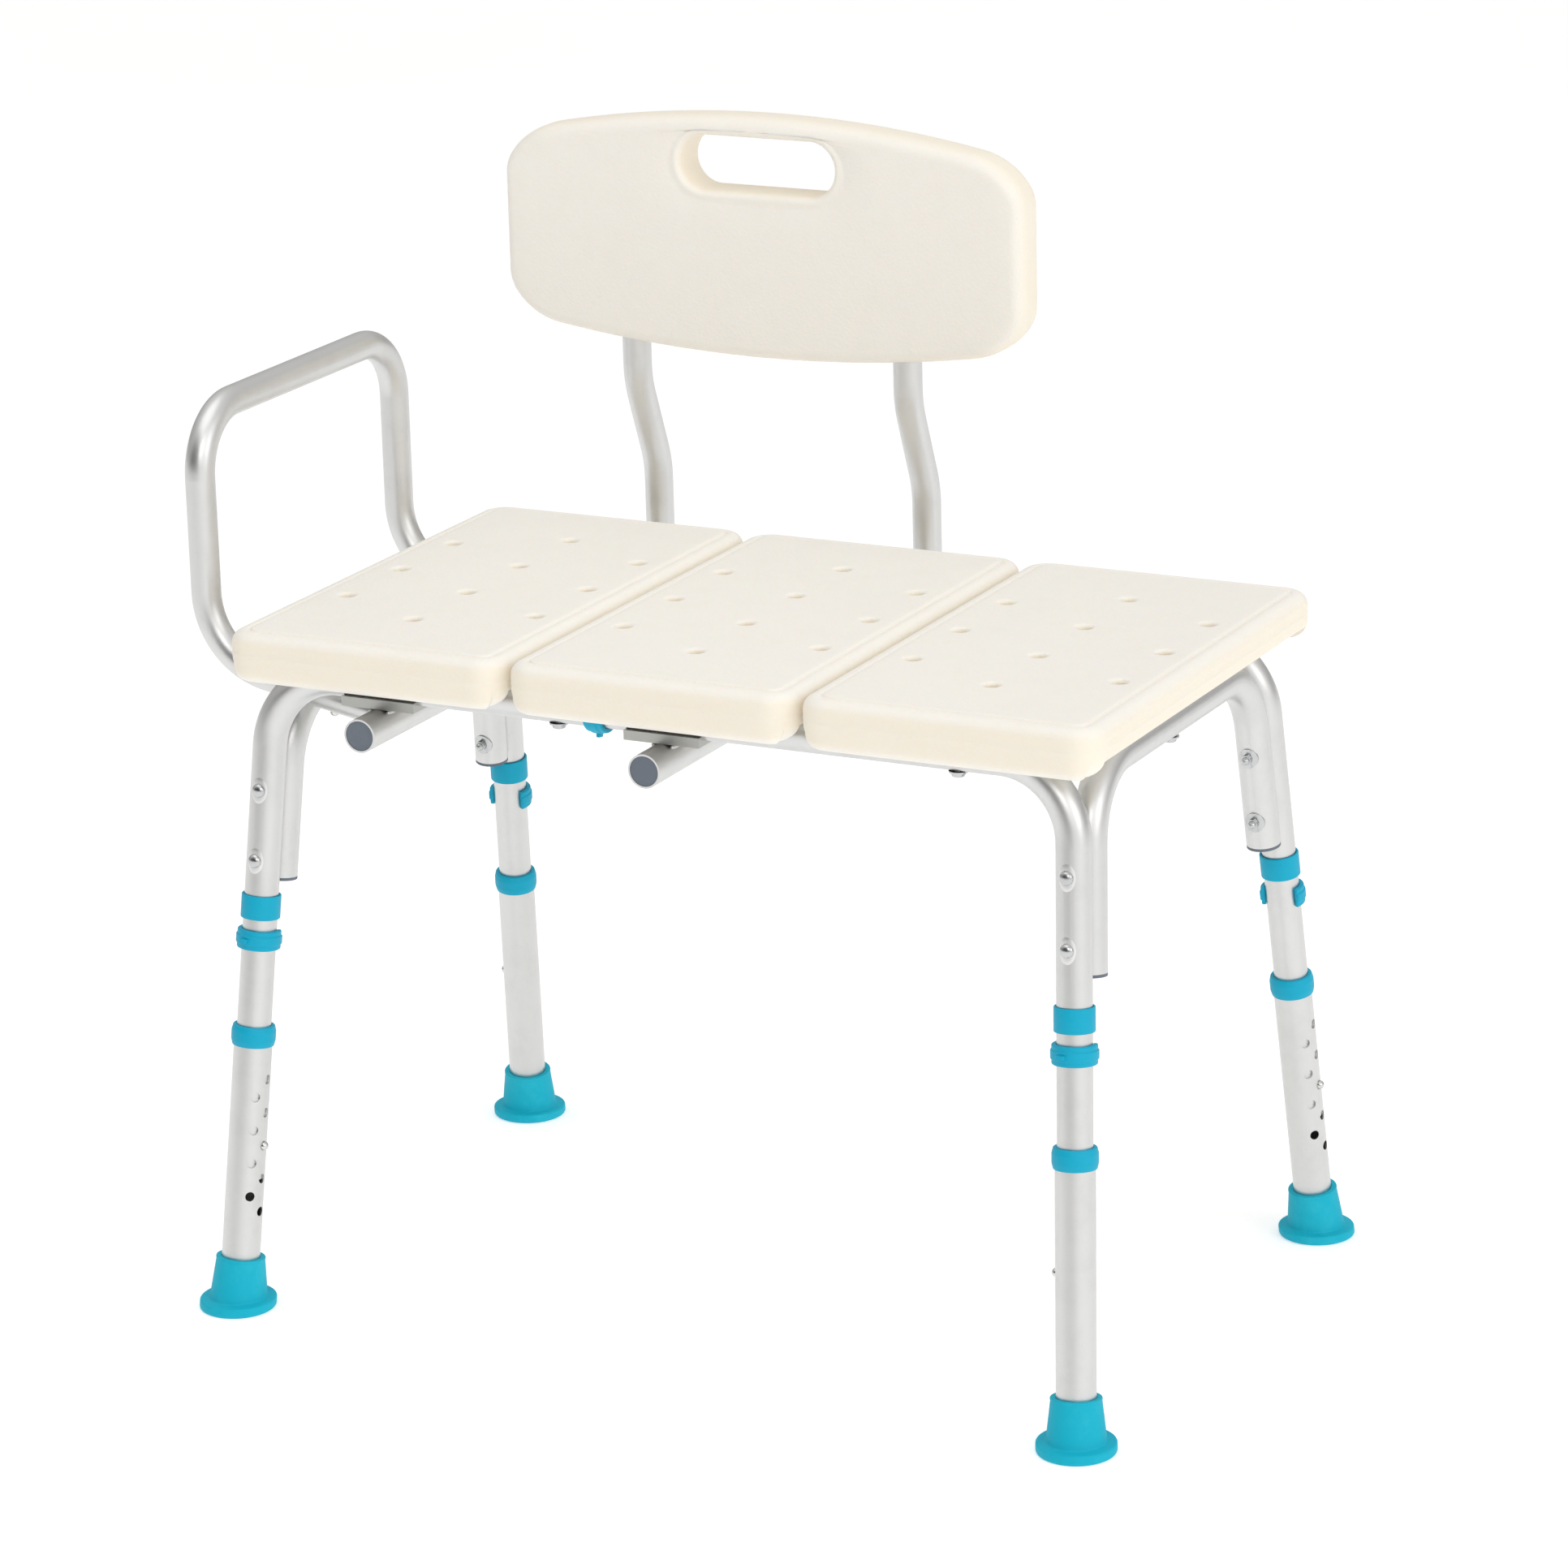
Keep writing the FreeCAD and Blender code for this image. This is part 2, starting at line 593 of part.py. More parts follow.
# ---------------------------------------------------------------- leg extensions
mid_top_z = leg_joint_z - mid_tube_gap
mid_bottom_z = button_z - mid_tube_below_button
for name, (sx, sy) in legs.items():
    foot, up = leg_axis(sx, sy)
    face = across(up, X * sx * sy)
    second = FreeCAD.Rotation(up, -second_row_deg).multVec(face)
    clip_face = across(up, Y * sy)

    def at(z):
        return on_leg(foot, up, z)

    mid = ring(frame_r, frame_r - mid_tube_wall, at(mid_bottom_z), at(mid_top_z))
    mid = mid.cut(cylinder(hole_r, at(button_z), at(button_z) + face * 2 * low_r))
    keep(f"leg_tube_{name}", mid.cut(pin_hole(at(clip_z), clip_face)))

    collar_top = leg_joint_z + upper_collar_lip
    collar = ring(frame_r + upper_collar_wall, frame_r + fixed,
                  at(collar_top) - up * upper_collar_h, at(collar_top))
    collar = collar.cut(cylinder(frame_r + apart, at(mid_top_z), at(collar_top + 1)))
    keep(f"upper_collar_{name}", collar)

    low = ring(low_r, frame_r + running, at(low_tube_bottom_z), at(low_tube_top_z))
    for count, towards in ((holes_main, face), (holes_second, second)):
        for i in range(count):
            spot = at(button_z) + up * hole_pitch * (i - (count - 1) / 2)
            low = low.cut(cylinder(hole_r, spot, spot + towards * 2 * low_r))
    keep(f"lower_tube_{name}", low)

    top, h = at(low_tube_top_z) + up * lower_collar_lip, lower_collar_h
    r_mid = low_r + lower_collar_wall
    r_end = r_mid - lower_collar_taper
    profile = [(0, -h), (r_end, -h), (r_mid, -h * 0.72), (r_mid, -h * 0.28), (r_end, 0), (0, 0)]
    collar = revolve(profile, top, up)
    collar = collar.cut(cylinder(low_r + fixed, top - up * (h + 1), at(low_tube_top_z) + up * fixed))
    keep(f"lower_collar_{name}", collar.cut(cylinder(frame_r + running, top - up * h, top + up)))

    keep(f"snap_button_{name}", snap_button(at(button_z), up, face, frame_r - mid_tube_wall, low_r))
    keep(f"leg_clip_{name}", pin_clip(at(clip_z), up, clip_face))

    flange = cylinder(foot_flange_r, foot, foot + Z * foot_flange_h)
    flange = flange.makeFillet(foot_flange_edge, [e for e in flange.Edges if e.isClosed()][:1])
    reach = foot_h / up.z
    base_r, top_r = low_r + foot_base_wall, low_r + foot_top_wall
    rim_out, rim_h, rim_edge = foot_rim
    profile = [(0, 0), (base_r + foot_flange_edge, foot_flange_h - 1),
               (base_r, foot_flange_h + 2 * foot_flange_edge),
               (top_r, reach - rim_h), (top_r + rim_out, reach - rim_h), (top_r + rim_out, reach - rim_edge),
               (top_r + rim_out - rim_edge, reach), (0, reach)]
    cone = revolve(profile, foot, up)
    block = 2 * foot_flange_r
    above_floor = Part.makeBox(2 * block, 2 * block, 2 * foot_h, foot - V(block, block, 0))
    tip = flange.fuse(cone.common(above_floor))
    socket = cylinder(low_r + fixed, at(low_tube_bottom_z) - up * fixed, at(2 * foot_h))
    keep(f"foot_tip_{name}", tip.cut(socket))

# ---------------------------------------------------------------- backrest
back_screw_zs = (post_top_z - back_screw_inset[0], back_bottom_z + back_screw_inset[1])
post_corners = [(post_top_z, back_plane_y), (jog_top_z, back_plane_y), (jog_bottom_z, post_foot_y),
                (receiver_z, post_foot_y), (receiver_z, post_end_y)]
for side, px in receiver_xs.items():
    points = [V(px, y, z) for z, y in post_corners]
    post = bent_tube(post_r, post_wall, points, [jog_bend_r, jog_bend_r, post_bend_r])
    at = V(px, button_y, receiver_z)
    for z in back_screw_zs:
        post = post.cut(cylinder(screw_r + fixed, V(px, back_plane_y, z), V(px, back_plane_y + post_od, z)))
    keep(f"backrest_post_{side}", post.cut(cylinder(hole_r, at, at - Z * frame_tube_od)))
    keep(f"backrest_button_{side}", snap_button(at, Y, Z * -1, post_r - post_wall, receiver_r))


def back_outline(inset):
    """Round-cornered outline with bowed top and bottom edges, in the backrest's plane."""
    def lens(z_edge, arc_r, sign):
        centre = V(back_x, 0, z_edge - sign * arc_r)
        return cylinder(arc_r - inset, centre - Y * back_thick, centre + Y * back_thick)
    tall = back_top_z - back_bottom_z + 2 * back_corner_r
    block = Part.makeBox(back_width - 2 * inset, 2 * back_thick, tall,
                         V(back_x - back_width / 2 + inset, -back_thick, back_bottom_z - back_corner_r))
    plate = block.common(lens(back_top_z, back_top_arc_r, 1))
    plate = plate.common(lens(back_bottom_z, back_bottom_arc_r, -1))
    r = back_corner_r - inset
    upright = [e for e in plate.Edges if abs(e.tangentAt(e.FirstParameter).y) > 0.9]
    return plate.makeFillet(r, upright)


def between(shape, y_from, y_to):
    size = back_width + back_top_arc_r
    return shape.common(Part.makeBox(2 * size, y_to - y_from, 2 * size, V(back_x - size, y_from, -size)))


slab = between(back_outline(0), -back_thick / 2, back_thick / 2)
rim = [e for e in slab.Edges if abs(abs(e.CenterOfMass.y) - back_thick / 2) < 0.01]
slab = slab.makeFillet(back_edge_r, rim)


def slot_plug(grow):
    size = V(slot_length + 2 * grow, 2 * back_thick, slot_height + 2 * grow)
    return round_box(size, V(back_x, 0, slot_z), Y, lambda m: size.z * 0.499)


hollow = between(back_outline(back_edge_r), panel_skin - back_thick / 2, back_thick / 2 - panel_skin)
hollow = hollow.cut(slot_plug(panel_skin + slot_edge_r))
screw_spots = []
for px in receiver_xs.values():
    socket_top, below = V(px, 0, post_top_z + 2), V(px, 0, back_bottom_z - 50)
    hollow = hollow.cut(cylinder(post_r + panel_skin, below, socket_top + Z * panel_skin))
    slab = slab.cut(cylinder(post_r + fixed, below, socket_top))
    screw_spots += [V(px, 0, z) for z in back_screw_zs]
for p in screw_spots:
    hollow = hollow.cut(cylinder(2 * screw_head_r, p, p + Y * back_thick))
    slab = slab.cut(cylinder(screw_r + fixed, p, p + Y * back_thick))
slab = slab.cut(hollow).cut(slot_plug(0))
for s in (-1, 1):
    face_y = min(s * back_thick / 2, s * (back_thick - slot_edge_r) / 2)
    mouth = slot_plug(slot_edge_r).common(Part.makeBox(
        back_width, slot_edge_r / 2, back_width,
        V(back_x - back_width / 2, face_y, slot_z - back_width / 2)))
    slab = slab.cut(mouth)
slab.translate(Y * back_plane_y)
keep("backrest_panel", slab)

screws = []
for p in screw_spots:
    at = p + Y * (back_plane_y + back_thick / 2 + fixed)
    head = cylinder(screw_head_r, at, at + Y * screw_head_h)
    screws.append(head.fuse(cylinder(screw_r, at - Y * (back_thick / 2 - post_r + screw_bite), at)))
keep("backrest_screws", group(screws))

# ---------------------------------------------------------------- arm rail
at, run = spigot_axes["front"]
end_t = (receiver_xs["left"] - receiver_r - arm_end_gap - arm_x) / run.x
front_low, rear_low = spigot_axes["front"][0], spigot_axes["rear"][0]
points = [front_low + run * end_t, front_low, V(arm_x, -arm_half_y, arm_top_z),
          V(arm_x, arm_half_y, arm_top_z), rear_low, rear_low + run * end_t]
rail = bent_tube(arm_r, arm_wall, points, [arm_low_bend_r, arm_top_bend_r, arm_top_bend_r, arm_low_bend_r])
down = across(arm_run, Z * -1)
for where, (at, run) in spigot_axes.items():
    t_end = (receiver_xs["left"] - arm_x) / run.x
    hole_at = at + run * (t_end - receiver_r - arm_spigot_length + arm_button_inset)
    rail = rail.cut(cylinder(hole_r, hole_at, hole_at + down * arm_od))
    keep(f"arm_button_{where}", snap_button(hole_at, run * -1, down, arm_in_r - running - arm_wall, arm_r))
keep("arm_rail", rail)

# ---------------------------------------------------------------- files
os.makedirs("parts", exist_ok=True)
for name, shape in nodes.items():
    shape.exportStep(f"parts/{name}.step")
print(len(nodes), "nodes")
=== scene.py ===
# %% [markdown]
# # A bath transfer bench
# The bench is a bolted frame of satin aluminium tube under three blow-moulded seat panels, with a
# moulded backrest on two bent posts, an arm rail at one end and four legs of adjustable length.
# Tubes and most of the hardware come from the engineering model and keep their shapes here. The
# moulded plastic and rubber get finer surfaces, because they show most: soft edges, drain holes, a
# hand slot, feet, collars and clips. Small touches are added last: bolt heads and weld beads.

# %% Load the frame
import json
import math

import bpy
import numpy as np
from mathutils import Matrix, Vector


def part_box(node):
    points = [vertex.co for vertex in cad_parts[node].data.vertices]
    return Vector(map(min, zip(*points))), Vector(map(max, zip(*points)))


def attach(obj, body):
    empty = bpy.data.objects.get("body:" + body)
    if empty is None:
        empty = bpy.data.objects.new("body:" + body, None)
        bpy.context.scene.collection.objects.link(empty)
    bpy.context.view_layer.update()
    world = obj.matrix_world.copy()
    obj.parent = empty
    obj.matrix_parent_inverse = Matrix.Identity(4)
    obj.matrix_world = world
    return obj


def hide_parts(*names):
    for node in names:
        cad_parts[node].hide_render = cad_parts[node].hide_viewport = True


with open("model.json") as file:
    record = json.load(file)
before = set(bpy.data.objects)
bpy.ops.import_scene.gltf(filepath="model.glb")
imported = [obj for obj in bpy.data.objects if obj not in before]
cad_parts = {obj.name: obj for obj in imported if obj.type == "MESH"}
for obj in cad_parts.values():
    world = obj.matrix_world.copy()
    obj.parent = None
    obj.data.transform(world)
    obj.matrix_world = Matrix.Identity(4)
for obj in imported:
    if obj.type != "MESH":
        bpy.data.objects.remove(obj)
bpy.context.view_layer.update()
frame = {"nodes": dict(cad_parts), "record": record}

mm = 0.001
body_of = {node: body for body, nodes in frame["record"]["behaviour"]["bodies"].items() for node in nodes}

# %% [markdown]
# ## Camera
# The bench is seen from the right and a little above, from about four metres away through a long
# lens, so the legs stay nearly parallel. The camera turns on three angles: azimuth round the bench,
# elevation above the floor and a small roll. A look-at constraint could aim it, but it can't roll.

# %% Camera
view_azimuth, view_elevation, view_roll = (math.radians(a) for a in (27.034, 17.125, -1.49))
view_target = Vector((0.14015, -0.23175, 0.4612))
view_distance = 4.1403
back = Vector((math.sin(view_azimuth) * math.cos(view_elevation),
               -math.cos(view_azimuth) * math.cos(view_elevation), math.sin(view_elevation)))
camera_data = bpy.data.cameras.new("camera")
camera_data.lens = 137.4
camera = bpy.data.objects.new("camera", camera_data)
bpy.context.scene.collection.objects.link(camera)
camera.rotation_mode = "QUATERNION"
camera.location = view_target + back * view_distance
roll = Matrix.Rotation(view_roll, 3, "Z").to_quaternion()
camera.rotation_quaternion = (-back).to_track_quat("-Z", "Y") @ roll
bpy.context.scene.camera = camera
print("camera stands at", [round(v, 3) for v in camera.location])

# %% [markdown]
# ## Floor and light
# A plain pale floor carries on past the horizon. The light is a bright, even room with one large
# soft panel overhead, one in front and a weak one on the right, as for a catalogue. The tubes need
# something darker to mirror or they vanish, so the room darkens towards the floor, with a dark
# curtain to the camera's left and a bright window to its right.

# %% Floor and light
floor_mesh = bpy.data.meshes.new("floor")
floor_half = 40.0
floor_mesh.from_pydata([(x, y, 0) for x, y in ((-floor_half, -floor_half), (floor_half, -floor_half),
                                               (floor_half, floor_half), (-floor_half, floor_half))],
                       [], [(0, 1, 2, 3)])
floor = bpy.data.objects.new("floor", floor_mesh)
bpy.context.scene.collection.objects.link(floor)


def add_node(tree, kind, settings=None, **sockets):
    """Adds a shader node. Settings are its own properties; a socket gets a number or a link.

    A socket goes by its name, or by i and its place where several sockets share a name."""
    made = tree.nodes.new(kind)
    for key, value in (settings or {}).items():
        setattr(made, key, value)
    for key, value in sockets.items():
        numbered = key[0] == "i" and key[1:].isdigit()
        socket = made.inputs[int(key[1:]) if numbered else key.replace("_", " ")]
        if isinstance(value, bpy.types.NodeSocket):
            tree.links.new(value, socket)
        else:
            socket.default_value = value
    return made


SMOOTH = {"interpolation_type": "SMOOTHSTEP"}
MULTIPLY = {"operation": "MULTIPLY"}
MIX_COLOURS = {"data_type": "RGBA"}


def start_material(name):
    """A new material, its tree, its Principled shader and the object coordinates."""
    material = bpy.data.materials.new(name)
    material.use_nodes = True
    tree = material.node_tree
    shader = tree.nodes["Principled BSDF"]
    return material, tree, shader, add_node(tree, "ShaderNodeTexCoord").outputs["Object"]


floor_finish, tree, shader, where = start_material("studio_floor")
cloud = add_node(tree, "ShaderNodeTexNoise", Vector=where, Scale=1.3)
tone = add_node(tree, "ShaderNodeMapRange", Value=cloud.outputs["Fac"], To_Min=0.86, To_Max=0.9)
tree.links.new(tone.outputs["Result"], shader.inputs["Base Color"])
shader.inputs["Roughness"].default_value = 0.9
shader.inputs["Specular IOR Level"].default_value = 0.1
shader.inputs["Emission Color"].default_value = (1, 1, 1, 1)
shader.inputs["Emission Strength"].default_value = 0.34
floor.data.materials.append(floor_finish)

world = bpy.data.worlds.new("studio")
bpy.context.scene.world = world
world.use_nodes = True
tree = world.node_tree
sky = tree.nodes["Background"]
direction = add_node(tree, "ShaderNodeTexCoord").outputs["Generated"]
height = add_node(tree, "ShaderNodeSeparateXYZ", Vector=direction)
glow = add_node(tree, "ShaderNodeMapRange", Value=height.outputs["Z"], From_Min=-0.1, From_Max=0.7,
                To_Min=0.30, To_Max=0.78)


def wall_tone(bearing, from_cosine, to_cosine, tone):
    """One where a direction is far from a bearing in degrees, and a tone where it is near it."""
    towards = (math.cos(math.radians(bearing)), math.sin(math.radians(bearing)), 0.0)
    near = add_node(tree, "ShaderNodeVectorMath", {"operation": "DOT_PRODUCT"}, i0=direction, i1=towards)
    wall = add_node(tree, "ShaderNodeMapRange", SMOOTH, Value=near.outputs["Value"],
                    From_Min=from_cosine, From_Max=to_cosine, To_Min=1.0, To_Max=tone)
    return wall.outputs["Result"]


curtain = wall_tone(-108, 0.62, 0.97, 0.08)
window = wall_tone(-22, 0.55, 0.95, 2.3)
walls = add_node(tree, "ShaderNodeMath", MULTIPLY, i0=curtain, i1=window)
room = add_node(tree, "ShaderNodeMath", MULTIPLY, i0=glow.outputs["Result"], i1=walls.outputs[0])
seen = add_node(tree, "ShaderNodeLightPath")
level = add_node(tree, "ShaderNodeMix", Factor=seen.outputs["Is Camera Ray"], A=room.outputs[0], B=1.15)
sky.inputs["Color"].default_value = (1.0, 0.995, 0.985, 1)
tree.links.new(level.outputs["Result"], sky.inputs["Strength"])


def soft_panel(name, place, towards, size, power):
    """A square area light at a place, turned towards a point."""
    data = bpy.data.lights.new(name, "AREA")
    data.size, data.energy = size, power
    lamp = bpy.data.objects.new(name, data)
    lamp.location = place
    lamp.rotation_mode = "QUATERNION"
    lamp.rotation_quaternion = (Vector(towards) - Vector(place)).to_track_quat("-Z", "Y")
    bpy.context.scene.collection.objects.link(lamp)


soft_panel("light_overhead", (-0.4, -0.6, 3.2), (0, 0, 0.4), 2.6, 18.5)
soft_panel("light_front", (1.5, -3.4, 2.6), (0, 0, 0.6), 1.6, 20)
soft_panel("light_right", (3.2, -0.9, 1.6), (0, 0, 0.5), 1.4, 8)
bpy.context.scene.view_settings.view_transform = "Standard"
print("floor, world and three soft panels")

# %% [markdown]
# ## Effects shared by the finishes
# Real surfaces are never one colour. Three effects come back in several finishes, so each is a node
# group: a moulded pebble, the fine lengthwise streaks of drawn tube, and the faint dulling that
# handling leaves. Groups give out only masks and colours; the shader stays in each material.


# %% Node groups
def start_group(name, inputs, outputs):
    """A node group with named sockets, and its input and output nodes."""
    group = bpy.data.node_groups.new(name, "ShaderNodeTree")
    for direction, sockets in (("INPUT", inputs), ("OUTPUT", outputs)):
        for socket, kind in sockets.items():
            group.interface.new_socket(socket, in_out=direction, socket_type=kind)
    return group, group.nodes.new("NodeGroupInput").outputs, group.nodes.new("NodeGroupOutput").inputs


NUMBER, COLOUR, VECTOR = "NodeSocketFloat", "NodeSocketColor", "NodeSocketVector"

# Pebble: small rounded cells broken up by noise. Height feeds a Bump node, Cloud is a slow drift.
pebble, given, out = start_group("moulded_pebble", {"Vector": VECTOR, "Cells": NUMBER},
                                 {"Height": NUMBER, "Cloud": NUMBER})
cells = add_node(pebble, "ShaderNodeTexVoronoi", {"feature": "SMOOTH_F1"}, Vector=given["Vector"],
                 Scale=given["Cells"], Smoothness=0.6)
rough = add_node(pebble, "ShaderNodeTexNoise", Vector=given["Vector"], Scale=given["Cells"], Detail=3.0)
both = add_node(pebble, "ShaderNodeMath", {"operation": "ADD"}, i0=cells.outputs["Distance"],
                i1=rough.outputs["Fac"])
pebble.links.new(both.outputs[0], out["Height"])
drift = add_node(pebble, "ShaderNodeTexNoise", Vector=given["Vector"], Scale=9.0, Detail=4.0, Roughness=0.6)
pebble.links.new(drift.outputs["Fac"], out["Cloud"])

# Streaks: noise stretched many times along one direction.
streaks, given, out = start_group("drawn_streaks", {"Vector": VECTOR, "Stretch": VECTOR},
                                  {"Streak": NUMBER, "Cloud": NUMBER})
pulled = add_node(streaks, "ShaderNodeVectorMath", MULTIPLY, i0=given["Vector"], i1=given["Stretch"])
line = add_node(streaks, "ShaderNodeTexNoise", Vector=pulled.outputs[0], Scale=1.0, Detail=5.0,
                Roughness=0.65)
streaks.links.new(line.outputs["Fac"], out["Streak"])
drift = add_node(streaks, "ShaderNodeTexNoise", Vector=given["Vector"], Scale=14.0, Detail=3.0)
streaks.links.new(drift.outputs["Fac"], out["Cloud"])

# Wear: mixes a base colour towards a worn one in soft patches, as much as Amount says.
wear, given, out = start_group("handling_wear",
                               {"Vector": VECTOR, "Amount": NUMBER, "Base": COLOUR, "Worn": COLOUR},
                               {"Color": COLOUR, "Mask": NUMBER})
patch = add_node(wear, "ShaderNodeTexNoise", Vector=given["Vector"], Scale=38.0, Detail=6.0, Roughness=0.7)
edge = add_node(wear, "ShaderNodeMapRange", SMOOTH, Value=patch.outputs["Fac"],
                From_Min=0.42, From_Max=0.72)
mask = add_node(wear, "ShaderNodeMath", MULTIPLY, i0=edge.outputs[0], i1=given["Amount"])
blended = add_node(wear, "ShaderNodeMix", MIX_COLOURS, i0=mask.outputs[0],
                   i6=given["Base"], i7=given["Worn"])
wear.links.new(blended.outputs[2], out["Color"])
wear.links.new(mask.outputs[0], out["Mask"])
print("node groups:", [g.name for g in bpy.data.node_groups])


# %% [markdown]
# ## Finishes
# The seat and back are cream polyethylene. Light goes a little way in and comes out warm, so edges
# and gaps look peach: some subsurface scattering does that, and a painted warm glow on the faces
# that turn away from the broad one helps it. The tubes are satin anodised: metal, but with a wide soft
# gloss.


# %% Finish helpers
def colour(r, g, b):
    """A display colour of 0-255 as the linear colour that a shader takes."""
    c = np.array([r, g, b]) / 255.0
    linear = np.where(c <= 0.04045, c / 12.92, ((c + 0.055) / 1.055) ** 2.4)
    return (*linear.tolist(), 1.0)


def darker(tone, share):
    """A linear colour turned down to a share of itself."""
    return tuple(share * c for c in tone[:3]) + (1.0,)


def use_group(tree, group, **sockets):
    """A node that brings a group into a tree."""
    return add_node(tree, "ShaderNodeGroup", {"node_tree": group}, **sockets)


def set_bump(tree, shader, height, depth, strength):
    """Turns a height into a normal: depth is the relief in metres."""
    bump = add_node(tree, "ShaderNodeBump", Height=height, Distance=depth, Strength=strength)
    tree.links.new(bump.outputs["Normal"], shader.inputs["Normal"])


def vary_roughness(tree, shader, value, low, high):
    """Lets a value from 0 to 1 move the roughness from low to high."""
    spread = add_node(tree, "ShaderNodeMapRange", Value=value, To_Min=low, To_Max=high)
    tree.links.new(spread.outputs["Result"], shader.inputs["Roughness"])


# %% Cream moulded plastic
cream = colour(244, 240, 232)
# Painted light: a warm peach tone for side faces, standing in for light scattered out through edges and
# gaps.
cream_painted_glow = colour(242, 230, 206)


def moulded_cream(name, broad_axis):
    """Pebbled cream plastic with a painted warm glow where a face turns away from the broad axis, standing
    in for scattered light.
    """
    material, tree, shader, where = start_material(name)
    skin = use_group(tree, pebble, Vector=where, Cells=430.0)
    normal = add_node(tree, "ShaderNodeNewGeometry").outputs["Normal"]
    facing = add_node(tree, "ShaderNodeSeparateXYZ", Vector=normal).outputs[broad_axis]
    turned = add_node(tree, "ShaderNodeMath", {"operation": "ABSOLUTE"}, i0=facing)
    # Painted glow mask: faces turned away from the broad axis get the warm tone, as scattered light, not
    # the plastic's own colour.
    painted_glow_mask = add_node(tree, "ShaderNodeMapRange", SMOOTH,
                      Value=turned.outputs[0], From_Min=0.95, From_Max=0.1, To_Min=0.0, To_Max=0.5)
    worn = use_group(tree, wear, Vector=where, Amount=0.12, Base=cream, Worn=colour(233, 228, 216))
    mixed = add_node(tree, "ShaderNodeMix", MIX_COLOURS, i0=painted_glow_mask.outputs[0],
                     i6=worn.outputs["Color"], i7=cream_painted_glow)
    tree.links.new(mixed.outputs[2], shader.inputs["Base Color"])
    vary_roughness(tree, shader, skin.outputs["Cloud"], 0.46, 0.62)
    set_bump(tree, shader, skin.outputs["Height"], 0.4 * mm, 0.45)
    shader.inputs["Subsurface Weight"].default_value = 0.22
    shader.inputs["Subsurface Radius"].default_value = (1.0, 0.6, 0.35)
    shader.inputs["Subsurface Scale"].default_value = 0.006
    shader.inputs["Specular IOR Level"].default_value = 0.4
    return material


seat_cream = moulded_cream("seat_cream", "Z")
back_cream = moulded_cream("back_cream", "Y")

# %% Satin tube
across_grain, along_grain = 1400.0, 9.0
turn_zone = 12 * mm
grain = {axis: tuple(along_grain if axis == a else across_grain for a in "XYZ") for axis in "XYZ"}


def satin_tube(name, upper, lower=None, change_z=0.0, tone=colour(214, 214, 213)):
    """Satin anodised metal, streaked along its axis, with a second axis below a height."""
    material, tree, shader, where = start_material(name)
    marks = use_group(tree, streaks, Vector=where, Stretch=grain[upper])
    streak = marks.outputs["Streak"]
    if lower:
        low_marks = use_group(tree, streaks, Vector=where, Stretch=grain[lower])
        z = add_node(tree, "ShaderNodeSeparateXYZ", Vector=where).outputs["Z"]
        above = add_node(tree, "ShaderNodeMapRange", SMOOTH, Value=z,
                         From_Min=change_z - turn_zone, From_Max=change_z + turn_zone)
        turning = add_node(tree, "ShaderNodeMix", Factor=above.outputs[0],
                           A=low_marks.outputs["Streak"], B=streak)
        streak = turning.outputs[0]
    worn = use_group(tree, wear, Vector=where, Amount=0.35, Base=tone, Worn=darker(tone, 0.86))
    tree.links.new(worn.outputs["Color"], shader.inputs["Base Color"])
    shader.inputs["Metallic"].default_value = 1.0
    vary_roughness(tree, shader, streak, 0.30, 0.46)
    set_bump(tree, shader, streak, 0.02 * mm, 0.25)
    return material


rail_bend_start = 0.44
tube_rails = satin_tube("tube_rails", "X", "Z", rail_bend_start)
tube_sides = satin_tube("tube_sides", "Y", "Z", rail_bend_start)
tube_legs = satin_tube("tube_legs", "Z")
tube_receivers = satin_tube("tube_receivers", "Y")
tube_posts = satin_tube("tube_posts", "Z", "Y", 0.47)
tube_arm = satin_tube("tube_arm", "Z", "X", 0.5)

# %% Extruded saddles, hardware and plastic trim


def plain_metal(name, tone, low, high):
    """Bare or plated metal, darker and rougher in soft patches."""
    material, tree, shader, where = start_material(name)
    marks = use_group(tree, wear, Vector=where, Amount=0.4, Base=tone, Worn=darker(tone, 0.75))
    tree.links.new(marks.outputs["Color"], shader.inputs["Base Color"])
    shader.inputs["Metallic"].default_value = 1.0
    vary_roughness(tree, shader, marks.outputs["Mask"], low, high)
    return material


brushed_saddle = satin_tube("brushed_saddle", "X", tone=colour(178, 178, 174))
zinc = plain_metal("zinc", colour(196, 197, 198), 0.22, 0.42)
spring_metal = plain_metal("spring_metal", colour(214, 214, 212), 0.16, 0.3)
weld_metal = plain_metal("weld_metal", colour(214, 213, 208), 0.38, 0.5)
# Painted sheen: paler than the tubes, standing in for the light caught by the pressed flats round the
# bolts.
pressed_oval_painted_sheen = plain_metal("pressed_oval_painted_sheen", colour(228, 228, 227), 0.42, 0.52)


def trim_plastic(name, tone, worn_tone, amount, low, high, relief):
    """Smooth coloured plastic or rubber with a fine pebble and rubbed patches."""
    material, tree, shader, where = start_material(name)
    skin = use_group(tree, pebble, Vector=where, Cells=900.0)
    worn = use_group(tree, wear, Vector=where, Amount=amount, Base=tone, Worn=worn_tone)
    tree.links.new(worn.outputs["Color"], shader.inputs["Base Color"])
    vary_roughness(tree, shader, skin.outputs["Cloud"], low, high)
    set_bump(tree, shader, skin.outputs["Height"], relief, 0.3)
    shader.inputs["Specular IOR Level"].default_value = 0.28
    return material


